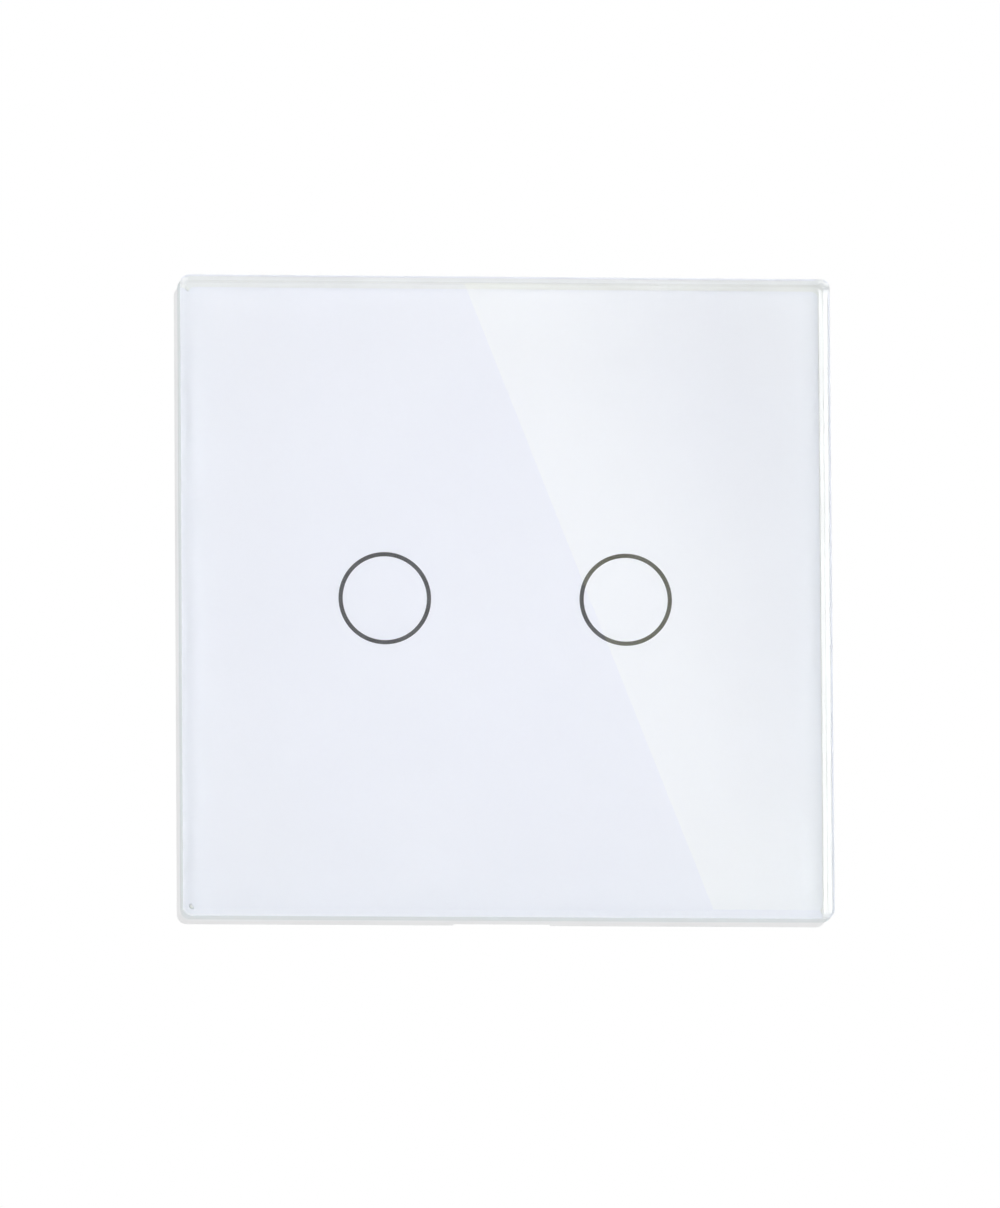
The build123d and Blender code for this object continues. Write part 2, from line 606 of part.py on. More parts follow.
def make_light_guide(side, spot):
    with BuildPart() as light_guide:
        with BuildSketch(level_plane(GUIDE_BACK)):
            with Locations(spot):
                Circle(GUIDE_OUTER)
                Circle(GUIDE_INNER, mode=Mode.SUBTRACT)
        extrude(amount=COVER_FRONT - GUIDE_BACK)
        with BuildSketch(level_plane(COVER_INSIDE - GUIDE_FLANGE)):
            with Locations(spot):
                Circle(GUIDE_FLANGE_RADIUS)
                Circle(GUIDE_INNER, mode=Mode.SUBTRACT)
        extrude(amount=GUIDE_FLANGE)
    light_guide.part.label = f"light_guide_{side}"
    export_step(light_guide.part, f"parts/light_guide_{side}.step")


def spring_gap(path):
    """The least gap between the turns of a spring, measured on points of its centre line."""
    count = round(SPRING_TURNS * SPRING_POINTS_PER_TURN)
    points = [path @ (index / count) for index in range(count + 1)]
    apart = SPRING_POINTS_PER_TURN // 2
    pairs = [(a, b) for index, a in enumerate(points) for b in points[index + apart:]]
    return min((a - b).length for a, b in pairs) - SPRING_WIRE


def make_touch_spring(side, spot):
    low = TOUCH_BOARD_FRONT + SPRING_WIRE / 2
    height = COVER_FRONT - TOUCH_BOARD_FRONT - SPRING_WIRE
    with BuildPart() as touch_spring:
        with BuildLine() as centre_line:
            Helix(height / SPRING_TURNS, height, SPRING_RADIUS, (spot[0], -low, spot[1]), (0, -1, 0))
        path = centre_line.edges()[0]
        with BuildSketch(Plane(path @ 0, z_dir=path % 0)):
            Circle(SPRING_WIRE / 2)
        sweep(path=path, is_frenet=True)
    touch_spring.part.label = f"touch_spring_{side}"
    export_step(touch_spring.part, f"parts/touch_spring_{side}.step")
    print(f"touch_spring_{side}: least gap between turns {spring_gap(path):.2f} mm")


def make_indicator_leds():
    with BuildPart() as indicator_leds:
        with BuildSketch(level_plane(TOUCH_BOARD_FRONT)):
            with Locations(*ring_spots()):
                with PolarLocations(RING_DIAMETER / 2, LAMPS_PER_RING, LAMP_START_ANGLE):
                    Rectangle(LAMP_WIDTH, LAMP_LENGTH)
        extrude(amount=LAMP_HEIGHT)
    indicator_leds.part.label = "indicator_leds"
    export_step(indicator_leds.part, "parts/indicator_leds.step")


def make_cover_screws():
    head_start = COVER_FRONT - SCREW_SINK_DEPTH
    head_top = head_start + SCREW_HEAD_HEIGHT
    spacing = COVER_SCREW_SPACING
    with BuildPart() as cover_screws:
        with BuildSketch(level_plane(SCREW_TIP_GAP)):
            with GridLocations(spacing, spacing, 2, 2):
                Circle(SCREW_SHANK_RADIUS)
        extrude(amount=head_start - SCREW_TIP_GAP)
        with BuildSketch(level_plane(head_start)):
            with GridLocations(spacing, spacing, 2, 2):
                Circle(SCREW_HEAD_RADIUS)
        extrude(amount=SCREW_HEAD_HEIGHT)
        with BuildSketch(level_plane(head_top - DRIVER_SLOT_DEPTH)):
            with GridLocations(spacing, spacing, 2, 2):
                Rectangle(DRIVER_SLOT_WIDTH, DRIVER_SLOT_LENGTH)
                Rectangle(DRIVER_SLOT_LENGTH, DRIVER_SLOT_WIDTH)
        extrude(amount=DRIVER_SLOT_DEPTH, mode=Mode.SUBTRACT)
    cover_screws.part.label = "cover_screws"
    export_step(cover_screws.part, "parts/cover_screws.step")


# Touch board and plug connection

def make_touch_board():
    hole = HEADER_PIN + 2 * PIN_HOLE_GAP
    with BuildPart() as touch_board:
        with BuildSketch(level_plane(TOUCH_BOARD_LEVEL)):
            housing_outline(HOUSING_WALL + TOUCH_BOARD_GAP)
            Rectangle(HOUSING_WIDTH, TOUCH_BOARD_HEIGHT, mode=Mode.INTERSECT)
            with Locations((0, HEADER_Z)):
                with GridLocations(HEADER_PIN_SPACING, 1, HEADER_PINS, 1):
                    Rectangle(hole, hole, mode=Mode.SUBTRACT)
        extrude(amount=TOUCH_BOARD_THICKNESS)
    touch_board.part.label = "touch_board"
    export_step(touch_board.part, "parts/touch_board.step")


def make_board_header():
    with BuildPart() as board_header:
        with BuildSketch(level_plane(TOUCH_BOARD_LEVEL - HEADER_HEIGHT)):
            with Locations((0, HEADER_Z)):
                Rectangle(HEADER_LENGTH, HEADER_WIDTH)
                with GridLocations(HEADER_PIN_SPACING, 1, HEADER_PINS, 1):
                    Rectangle(HEADER_PIN, HEADER_PIN, mode=Mode.SUBTRACT)
        extrude(amount=HEADER_HEIGHT)
    board_header.part.label = "board_header"
    export_step(board_header.part, "parts/board_header.step")


def make_header_pins():
    low = POWER_BOARD_FRONT + HEADER_PIN_END_GAP
    high = TOUCH_BOARD_FRONT + HEADER_PIN_STICKOUT
    with BuildPart() as header_pins:
        with BuildSketch(level_plane(low)):
            with Locations((0, HEADER_Z)):
                with GridLocations(HEADER_PIN_SPACING, 1, HEADER_PINS, 1):
                    Rectangle(HEADER_PIN, HEADER_PIN)
        extrude(amount=high - low)
    header_pins.part.label = "header_pins"
    export_step(header_pins.part, "parts/header_pins.step")


def make_header_socket():
    top = TOUCH_BOARD_LEVEL - HEADER_HEIGHT - SOCKET_GAP
    hole = HEADER_PIN + 2 * SOCKET_HOLE_GAP
    with BuildPart() as header_socket:
        with BuildSketch(level_plane(POWER_BOARD_FRONT)):
            with Locations((0, HEADER_Z)):
                Rectangle(HEADER_LENGTH, HEADER_WIDTH)
                with GridLocations(HEADER_PIN_SPACING, 1, HEADER_PINS, 1):
                    Rectangle(hole, hole, mode=Mode.SUBTRACT)
        extrude(amount=top - POWER_BOARD_FRONT)
    header_socket.part.label = "header_socket"
    export_step(header_socket.part, "parts/header_socket.step")


def make_chip(name, board_side, centre_z, away):
    """A small chip that stands off a board's face; away is 1 towards the room, -1 into the wall."""
    with BuildPart() as chip:
        with BuildSketch(level_plane(board_side + away * CHIP_STANDOFF)):
            with Locations((0, centre_z)):
                Rectangle(CHIP_LENGTH, CHIP_WIDTH)
        extrude(amount=away * CHIP_HEIGHT)
    chip.part.label = name
    export_step(chip.part, f"parts/{name}.step")


def make_chip_leads():
    """The bent leads of both chips, each lead a step from the chip's side down to its board."""
    half_reach = CHIP_LEAD_REACH / 2
    rows = CHIP_WIDTH + CHIP_LEAD_REACH
    middle = CHIP_STANDOFF + CHIP_HEIGHT / 2
    thin = CHIP_LEAD_THICKNESS
    with BuildPart() as chip_leads:
        for board_side, centre_z, away in chip_places():
            with BuildSketch(level_plane(board_side + away * (middle - thin / 2))):
                with Locations((0, centre_z)):
                    with GridLocations(CHIP_LEAD_SPACING, rows - half_reach, CHIP_LEADS_PER_SIDE, 2):
                        Rectangle(CHIP_LEAD_WIDTH, half_reach)
            extrude(amount=away * thin)
            with BuildSketch(level_plane(board_side)):
                with Locations((0, centre_z)):
                    with GridLocations(CHIP_LEAD_SPACING, rows, CHIP_LEADS_PER_SIDE, 2):
                        Rectangle(CHIP_LEAD_WIDTH, thin)
            extrude(amount=away * (middle + thin / 2))
            with BuildSketch(level_plane(board_side)):
                with Locations((0, centre_z)):
                    with GridLocations(CHIP_LEAD_SPACING, rows + half_reach, CHIP_LEADS_PER_SIDE, 2):
                        Rectangle(CHIP_LEAD_WIDTH, half_reach)
            extrude(amount=away * thin)
    chip_leads.part.label = "chip_leads"
    export_step(chip_leads.part, "parts/chip_leads.step")


def chip_places():
    """Board face, height of the centre and facing direction of the touch chip and the supply chip."""
    return [
        (TOUCH_BOARD_LEVEL, TOUCH_CHIP_Z, -1),
        (POWER_BOARD_FRONT, SUPPLY_CHIP_Z, 1),
    ]


# Power board and supply parts

def make_power_board():
    leg_centre_z = LEG_Z + BAR_LEG / 2
    with BuildPart() as power_board:
        with BuildSketch(level_plane(POWER_BOARD_BACK)):
            housing_outline(HOUSING_WALL + POWER_BOARD_GAP)
            Rectangle(
                2 * (HOUSING_INSIDE - POWER_BOARD_SIDE_GAP),
                HOUSING_WIDTH,
                mode=Mode.INTERSECT,
            )
            for centre_x in (-RELAY_SPACING / 2, RELAY_SPACING / 2):
                with Locations(*relay_pin_spots(centre_x)):
                    Circle(RELAY_PIN_HOLE_RADIUS, mode=Mode.SUBTRACT)
            with Locations(*[(x, leg_centre_z) for x in terminal_xs()]):
                Circle(BAR_HOLE_RADIUS, mode=Mode.SUBTRACT)
        extrude(amount=POWER_BOARD_THICKNESS)
    power_board.part.label = "power_board"
    export_step(power_board.part, "parts/power_board.step")


def make_choke_core():
    with BuildPart() as choke_core:
        with BuildSketch(level_plane(board_level(CHOKE_HEIGHT))):
            with Locations((0, CHOKE_Z)):
                Circle(CHOKE_WAIST)
        extrude(amount=CHOKE_HEIGHT)
        for height in (CHOKE_FLANGE, CHOKE_HEIGHT):
            with BuildSketch(level_plane(board_level(height))):
                with Locations((0, CHOKE_Z)):
                    Circle(CHOKE_RADIUS)
            extrude(amount=CHOKE_FLANGE)
    choke_core.part.label = "choke_core"
    export_step(choke_core.part, "parts/choke_core.step")


def make_choke_winding():
    with BuildPart() as choke_winding:
        with BuildSketch(level_plane(board_level(CHOKE_HEIGHT - CHOKE_FLANGE))):
            with Locations((0, CHOKE_Z)):
                Circle(CHOKE_WINDING_RADIUS)
                Circle(CHOKE_WAIST, mode=Mode.SUBTRACT)
        extrude(amount=CHOKE_HEIGHT - 2 * CHOKE_FLANGE)
    choke_winding.part.label = "choke_winding"
    export_step(choke_winding.part, "parts/choke_winding.step")


def make_film_capacitor():
    width, depth, height = FILM_CAPACITOR_SIZE
    with BuildPart() as film_capacitor:
        with BuildSketch(level_plane(board_level(height))):
            with Locations((0, FILM_CAPACITOR_Z)):
                RectangleRounded(width, depth, FILM_CAPACITOR_ROUND)
        extrude(amount=height)
        fillet(film_capacitor.faces().sort_by(Axis.Y)[-1].edges(), radius=FILM_CAPACITOR_ROUND / 2)
    film_capacitor.part.label = "film_capacitor"
    export_step(film_capacitor.part, "parts/film_capacitor.step")


def make_smoothing_capacitor():
    with BuildPart() as smoothing_capacitor:
        with BuildSketch(level_plane(board_level(CAN_HEIGHT))):
            with Locations(CAN_SPOT):
                Circle(CAN_RADIUS)
        extrude(amount=CAN_HEIGHT)
        chamfer(smoothing_capacitor.faces().sort_by(Axis.Y)[-1].edges(), length=CAN_BEVEL)
        with BuildSketch(level_plane(board_level(CAN_GROOVE_LEVEL + CAN_GROOVE))):
            with Locations(CAN_SPOT):
                Circle(CAN_RADIUS)
                Circle(CAN_RADIUS - CAN_GROOVE, mode=Mode.SUBTRACT)
        extrude(amount=2 * CAN_GROOVE, mode=Mode.SUBTRACT)
    smoothing_capacitor.part.label = "smoothing_capacitor"
    export_step(smoothing_capacitor.part, "parts/smoothing_capacitor.step")


def make_surge_disc():
    centre_height = SURGE_STANDOFF + SURGE_RADIUS
    spot_x, spot_z = SURGE_SPOT
    with BuildPart() as surge_disc:
        with BuildSketch(Plane.XY.offset(spot_z - SURGE_THICKNESS / 2)):
            with Locations((spot_x, -board_level(centre_height))):
                Circle(SURGE_RADIUS)
        extrude(amount=SURGE_THICKNESS)
        with BuildSketch(level_plane(board_level(centre_height))):
            with Locations(SURGE_SPOT):
                with GridLocations(SURGE_LEG_SPACING, 1, 2, 1):
                    Rectangle(SURGE_LEG, SURGE_LEG)
        extrude(amount=centre_height)
    surge_disc.part.label = "surge_disc"
    export_step(surge_disc.part, "parts/surge_disc.step")


def make_fuse_link():
    spot_x, spot_z = FUSE_SPOT
    centre_y = -board_level(FUSE_RADIUS + FUSE_CAP_STEP)
    with BuildPart() as fuse_link:
        with BuildSketch(Plane.YZ.offset(spot_x - FUSE_LENGTH / 2)):
            with Locations((centre_y, spot_z)):
                Circle(FUSE_RADIUS)
        extrude(amount=FUSE_LENGTH)
        for start in (-FUSE_LENGTH / 2, FUSE_LENGTH / 2 - FUSE_CAP):
            with BuildSketch(Plane.YZ.offset(spot_x + start)):
                with Locations((centre_y, spot_z)):
                    Circle(FUSE_RADIUS + FUSE_CAP_STEP)
            extrude(amount=FUSE_CAP)
    fuse_link.part.label = "fuse_link"
    export_step(fuse_link.part, "parts/fuse_link.step")


# Relays

def make_relay_case(side, centre_x):
    centre = (centre_x, RELAY_Z)
    inner_width = RELAY_WIDTH - 2 * RELAY_CASE_WALL
    inner_length = RELAY_LENGTH - 2 * RELAY_CASE_WALL
    with BuildPart() as relay_case:
        with BuildSketch(level_plane(board_level(RELAY_HEIGHT))):
            with Locations(centre):
                RectangleRounded(RELAY_WIDTH, RELAY_LENGTH, RELAY_CASE_ROUND)
        extrude(amount=RELAY_HEIGHT - RELAY_STANDOFF)
        fillet(relay_case.faces().sort_by(Axis.Y)[-1].edges(), radius=RELAY_CASE_ROUND)
        with BuildSketch(level_plane(board_level(RELAY_HEIGHT - RELAY_CASE_TOP))):
            with Locations(centre):
                Rectangle(inner_width, inner_length)
        extrude(amount=RELAY_HEIGHT - RELAY_CASE_TOP - RELAY_STANDOFF, mode=Mode.SUBTRACT)
    relay_case.part.label = f"relay_{side}_case"
    export_step(relay_case.part, f"parts/relay_{side}_case.step")


def make_relay_base(side, centre_x):
    gap = RELAY_CASE_WALL + RELAY_BASE_GAP
    with BuildPart() as relay_base:
        with BuildSketch(level_plane(board_level(RELAY_BASE_TOP))):
            with Locations((centre_x, RELAY_Z)):
                Rectangle(RELAY_WIDTH - 2 * gap, RELAY_LENGTH - 2 * gap)
            with Locations(*relay_pin_spots(centre_x)):
                Rectangle(RELAY_PIN, RELAY_PIN, mode=Mode.SUBTRACT)
        extrude(amount=RELAY_BASE_THICKNESS)
    relay_base.part.label = f"relay_{side}_base"
    export_step(relay_base.part, f"parts/relay_{side}_base.step")


def make_relay_bobbin(side, centre_x):
    bottom = RELAY_BASE_TOP + YOKE_THICKNESS
    top = bottom + COIL_LENGTH
    spot = (centre_x, RELAY_Z + COIL_OFFSET)
    with BuildPart() as relay_bobbin:
        with BuildSketch(level_plane(board_level(top))):
            with Locations(spot):
                Circle(BOBBIN_TUBE_RADIUS)
        extrude(amount=COIL_LENGTH)
        for height in (bottom + BOBBIN_FLANGE, top):
            with BuildSketch(level_plane(board_level(height))):
                with Locations(spot):
                    Circle(BOBBIN_FLANGE_RADIUS)
            extrude(amount=BOBBIN_FLANGE)
        with BuildSketch(level_plane(board_level(top))):
            with Locations(spot):
                Circle(CORE_RADIUS + CORE_HOLE_GAP)
        extrude(amount=COIL_LENGTH, mode=Mode.SUBTRACT)
    relay_bobbin.part.label = f"relay_{side}_bobbin"
    export_step(relay_bobbin.part, f"parts/relay_{side}_bobbin.step")


def make_relay_winding(side, centre_x):
    top = RELAY_BASE_TOP + YOKE_THICKNESS + COIL_LENGTH - BOBBIN_FLANGE
    with BuildPart() as relay_winding:
        with BuildSketch(level_plane(board_level(top))):
            with Locations((centre_x, RELAY_Z + COIL_OFFSET)):
                Circle(WINDING_RADIUS)
                Circle(BOBBIN_TUBE_RADIUS, mode=Mode.SUBTRACT)
        extrude(amount=COIL_LENGTH - 2 * BOBBIN_FLANGE)
    relay_winding.part.label = f"relay_{side}_winding"
    export_step(relay_winding.part, f"parts/relay_{side}_winding.step")


def make_relay_core(side, centre_x):
    bottom = RELAY_BASE_TOP + YOKE_THICKNESS
    with BuildPart() as relay_core:
        with BuildSketch(level_plane(board_level(bottom + COIL_LENGTH))):
            with Locations((centre_x, RELAY_Z + COIL_OFFSET)):
                Circle(CORE_RADIUS)
        extrude(amount=COIL_LENGTH)
        with BuildSketch(level_plane(board_level(YOKE_TOP))):
            with Locations((centre_x, RELAY_Z + COIL_OFFSET)):
                Circle(POLE_RADIUS)
        extrude(amount=POLE_THICKNESS)
    relay_core.part.label = f"relay_{side}_core"
    export_step(relay_core.part, f"parts/relay_{side}_core.step")


def make_relay_yoke(side, centre_x):
    """An angle whose foot carries the core and whose upright carries the armature's edge."""
    foot_end = COIL_OFFSET + BOBBIN_FLANGE_RADIUS
    foot = foot_end - YOKE_BACK
    with BuildPart() as relay_yoke:
        with BuildSketch(level_plane(board_level(RELAY_BASE_TOP + YOKE_THICKNESS))):
            with Locations((centre_x, RELAY_Z + YOKE_BACK + foot / 2)):
                Rectangle(YOKE_WIDTH, foot)
        extrude(amount=YOKE_THICKNESS)
        with BuildSketch(level_plane(board_level(YOKE_TOP))):
            with Locations((centre_x, RELAY_Z + HINGE_OFFSET)):
                Rectangle(YOKE_WIDTH, YOKE_THICKNESS)
        extrude(amount=YOKE_TOP - RELAY_BASE_TOP)
    relay_yoke.part.label = f"relay_{side}_yoke"
    export_step(relay_yoke.part, f"parts/relay_{side}_yoke.step")


def armature_plane(centre_x):
    """The plane of the open armature's underside: origin on the hinge line, x along X, y along its arm."""
    hinge = Vector(centre_x, -board_level(HINGE_HEIGHT), RELAY_Z + HINGE_OFFSET)
    arm = Vector(0, tan(ARMATURE_TILT), 1)
    across = Vector(1, 0, 0)
    return Plane(origin=hinge, x_dir=across, z_dir=across.cross(arm))


def make_relay_armature(side, centre_x):
    tail = YOKE_THICKNESS / 2
    with BuildPart() as relay_armature:
        with BuildSketch(armature_plane(centre_x)):
            with Locations((0, ARMATURE_LENGTH / 2 - tail)):
                Rectangle(ARMATURE_WIDTH, ARMATURE_LENGTH)
        extrude(amount=-ARMATURE_THICKNESS)
    relay_armature.part.label = f"relay_{side}_armature"
    export_step(relay_armature.part, f"parts/relay_{side}_armature.step")


def make_relay_moving_contact(side, centre_x):
    """The leaf on the armature, with the contact button near its free end."""
    button = CONTACT_OFFSET - HINGE_OFFSET
    under = armature_plane(centre_x).offset(-ARMATURE_THICKNESS)
    with BuildPart() as moving_contact:
        with BuildSketch(under):
            with Locations((0, (LEAF_START + LEAF_REACH) / 2)):
                Rectangle(LEAF_WIDTH, LEAF_REACH - LEAF_START)
        extrude(amount=-LEAF_THICKNESS)
        with BuildSketch(under.offset(-LEAF_THICKNESS - CONTACT_HEAD)):
            with Locations((0, button)):
                Circle(CONTACT_RADIUS)
        extrude(amount=CONTACT_HEAD + LEAF_THICKNESS + CONTACT_THICKNESS)
    moving_contact.part.label = f"relay_{side}_moving_contact"
    export_step(moving_contact.part, f"parts/relay_{side}_moving_contact.step")


def make_relay_fixed_contact(side, centre_x):
    """An upright strip with its pin below and the fixed contact button on its upper arm."""
    strip_x, strip_z = relay_pin_spots(centre_x)[3]
    button_top = HINGE_HEIGHT + ARMATURE_THICKNESS - CONTACT_THICKNESS - CONTACT_CLEARANCE
    arm_top = button_top - CONTACT_THICKNESS
    arm_start = RELAY_Z + CONTACT_OFFSET - CONTACT_RADIUS
    arm_end = strip_z + CONTACT_STRIP / 2
    with BuildPart() as fixed_contact:
        with BuildSketch(level_plane(board_level(arm_top))):
            with Locations((strip_x, strip_z)):
                Rectangle(CONTACT_STRIP_WIDTH, CONTACT_STRIP)
        extrude(amount=arm_top - RELAY_BASE_TOP)
        with BuildSketch(level_plane(board_level(arm_top))):
            with Locations((strip_x, (arm_start + arm_end) / 2)):
                Rectangle(CONTACT_STRIP_WIDTH, arm_end - arm_start)
        extrude(amount=CONTACT_STRIP)
        with BuildSketch(level_plane(board_level(button_top))):
            with Locations((centre_x, RELAY_Z + CONTACT_OFFSET)):
                Circle(CONTACT_RADIUS)
        extrude(amount=CONTACT_THICKNESS)
        with BuildSketch(level_plane(board_level(RELAY_BASE_TOP))):
            with Locations((strip_x, strip_z)):
                Rectangle(RELAY_PIN, CONTACT_STRIP)
        extrude(amount=RELAY_BASE_TOP + RELAY_PIN_LENGTH)
    fixed_contact.part.label = f"relay_{side}_fixed_contact"
    export_step(fixed_contact.part, f"parts/relay_{side}_fixed_contact.step")


def make_relay_pins(side, centre_x):
    """The two coil pins and the common pin under the yoke."""
    spots = relay_pin_spots(centre_x)
    with BuildPart() as relay_pins:
        with BuildSketch(level_plane(board_level(RELAY_BASE_TOP + COIL_PIN_RISE))):
            with Locations(spots[0], spots[1]):
                Rectangle(RELAY_PIN, RELAY_PIN)
        extrude(amount=RELAY_BASE_TOP + COIL_PIN_RISE + RELAY_PIN_LENGTH)
        with BuildSketch(level_plane(board_level(RELAY_BASE_TOP))):
            with Locations(spots[2]):
                Rectangle(RELAY_PIN, RELAY_PIN)
        extrude(amount=RELAY_BASE_TOP + RELAY_PIN_LENGTH)
    relay_pins.part.label = f"relay_{side}_pins"
    export_step(relay_pins.part, f"parts/relay_{side}_pins.step")


def make_relay(side, centre_x):
    make_relay_case(side, centre_x)
    make_relay_base(side, centre_x)
    make_relay_bobbin(side, centre_x)
    make_relay_winding(side, centre_x)
    make_relay_core(side, centre_x)
    make_relay_yoke(side, centre_x)
    make_relay_armature(side, centre_x)
    make_relay_moving_contact(side, centre_x)
    make_relay_fixed_contact(side, centre_x)
    make_relay_pins(side, centre_x)


# Terminals

def make_terminal_block():
    depth = BLOCK_REAR_Z - BLOCK_FRONT_Z
    cell_depth = CELL_REAR_Z - CELL_FRONT_Z
    wells = [(x, TERMINAL_Z) for x in terminal_xs()]
    with BuildPart() as terminal_block:
        with BuildSketch(level_plane(board_level(TERMINAL_HEIGHT))):
            with Locations((0, BLOCK_FRONT_Z + depth / 2)):
                Rectangle(BLOCK_WIDTH, depth)
        extrude(amount=TERMINAL_HEIGHT)
        # a cell for each cage, open towards the board
        with BuildSketch(level_plane(board_level(WEB_START))):
            with Locations(*[(x, CELL_FRONT_Z + cell_depth / 2) for x in terminal_xs()]):
                Rectangle(TERMINAL_CELL_WIDTH, cell_depth)
        extrude(amount=WEB_START, mode=Mode.SUBTRACT)
        # saddles that carry the contact bars
        with BuildSketch(level_plane(board_level(BAR_BOTTOM))):
            with Locations(*[(x, SADDLE_Z + SADDLE / 2) for x in terminal_xs()]):
                Rectangle(TERMINAL_CELL_WIDTH, SADDLE)
        extrude(amount=BAR_BOTTOM)
        # wells for the screw heads, holes for their shanks and holes for the wires
        with BuildSketch(level_plane(board_level(TERMINAL_HEIGHT))):
            with Locations(*wells):
                Circle(TERMINAL_WELL_RADIUS)
        extrude(amount=TERMINAL_HEIGHT - WEB_START - TERMINAL_WEB, mode=Mode.SUBTRACT)
        with BuildSketch(level_plane(board_level(WEB_START + TERMINAL_WEB))):
            with Locations(*wells):
                Circle(TERMINAL_SCREW_RADIUS + TERMINAL_SCREW_GAP)
        extrude(amount=TERMINAL_WEB, mode=Mode.SUBTRACT)
        with BuildSketch(Plane.XY.offset(BLOCK_FRONT_Z)):
            with Locations(*[(x, -board_level(WIRE_HEIGHT)) for x in terminal_xs()]):
                Circle(WIRE_HOLE_RADIUS)
        extrude(amount=TERMINAL_FRONT_WALL, mode=Mode.SUBTRACT)
    terminal_block.part.label = "terminal_block"
    export_step(terminal_block.part, "parts/terminal_block.step")


def make_contact_bars():
    bar_length = LEG_Z + BAR_LEG - CAGE_FRONT_Z
    with BuildPart() as contact_bars:
        with BuildSketch(level_plane(board_level(BAR_TOP))):
            with Locations(*[(x, CAGE_FRONT_Z + bar_length / 2) for x in terminal_xs()]):
                Rectangle(BAR_WIDTH, bar_length)
        extrude(amount=BAR_THICKNESS)
        with BuildSketch(level_plane(board_level(BAR_TOP))):
            with Locations(*[(x, LEG_Z + BAR_LEG / 2) for x in terminal_xs()]):
                Rectangle(BAR_LEG_WIDTH, BAR_LEG)
        extrude(amount=BAR_TOP + BAR_LEG_LENGTH)
    contact_bars.part.label = "contact_bars"
    export_step(contact_bars.part, "parts/contact_bars.step")


def make_terminal_cage(number, centre_x):
    """A steel loop round the wire and the contact bar, at its lowest place, open for a wire."""
    inner_height = CAGE_HEIGHT - CAGE_FLOOR - CAGE_TOP
    middle_y = -board_level(CAGE_LIFT + CAGE_HEIGHT / 2)
    window_y = -board_level(CAGE_LIFT + CAGE_FLOOR + inner_height / 2)
    with BuildPart() as terminal_cage:
        with BuildSketch(Plane.XY.offset(CAGE_FRONT_Z)):
            with Locations((centre_x, middle_y)):
                Rectangle(CAGE_WIDTH, CAGE_HEIGHT)
            with Locations((centre_x, window_y)):
                Rectangle(CAGE_WIDTH - 2 * CAGE_WALL, inner_height, mode=Mode.SUBTRACT)
        extrude(amount=CAGE_LENGTH)
        with BuildSketch(level_plane(board_level(CAGE_TOP_START + CAGE_TOP))):
            with Locations((centre_x, TERMINAL_Z)):
                Circle(TERMINAL_SCREW_RADIUS + TERMINAL_SCREW_GAP)
        extrude(amount=CAGE_TOP, mode=Mode.SUBTRACT)
    terminal_cage.part.label = f"terminal_cage_{number}"
    export_step(terminal_cage.part, f"parts/terminal_cage_{number}.step")


def make_terminal_screw(number, centre_x):
    head_top = HEAD_START + TERMINAL_HEAD_HEIGHT
    spot = (centre_x, TERMINAL_Z)
    with BuildPart() as terminal_screw:
        with BuildSketch(level_plane(board_level(HEAD_START))):
            with Locations(spot):
                Circle(TERMINAL_SCREW_RADIUS)
        extrude(amount=HEAD_START - CAGE_TOP_START)
        with BuildSketch(level_plane(board_level(head_top))):
            with Locations(spot):
                Circle(TERMINAL_HEAD_RADIUS)
        extrude(amount=TERMINAL_HEAD_HEIGHT)
        with BuildSketch(level_plane(board_level(head_top))):
            with Locations(spot):
                Rectangle(2 * TERMINAL_HEAD_RADIUS, TERMINAL_SLOT_WIDTH)
        extrude(amount=DRIVER_SLOT_DEPTH, mode=Mode.SUBTRACT)
    terminal_screw.part.label = f"terminal_screw_{number}"
    export_step(terminal_screw.part, f"parts/terminal_screw_{number}.step")


def main():
    os.makedirs("parts", exist_ok=True)
    make_glass_plate()
    make_white_backing()
    make_adhesive_frame()
    make_panel_frame()
    make_mounting_plate()
    make_rear_housing()
    make_front_cover()
    make_indicator_leds()
    make_cover_screws()
    for side, spot in zip(("left", "right"), ring_spots()):
        make_ring_mark(side, spot)
        make_light_guide(side, spot)
        make_touch_spring(side, spot)
        make_relay(side, spot[0] / RING_SPACING * RELAY_SPACING)
    make_touch_board()
    make_board_header()
    make_header_pins()
    make_header_socket()
    make_chip("touch_chip", *chip_places()[0])
    make_chip("supply_chip", *chip_places()[1])
    make_chip_leads()
    make_power_board()
    make_choke_core()
    make_choke_winding()
    make_film_capacitor()
    make_smoothing_capacitor()
    make_surge_disc()
    make_fuse_link()
    make_terminal_block()
    make_contact_bars()
    for number, centre_x in enumerate(terminal_xs(), start=1):
        make_terminal_cage(number, centre_x)
        make_terminal_screw(number, centre_x)


main()
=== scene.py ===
"""Double touch switch with a white glass front: looks, light and camera round its packed parts."""

import json
import math

import bmesh
import bpy
from bpy.props import FloatProperty, FloatVectorProperty, IntProperty, PointerProperty
from mathutils import Matrix, Vector

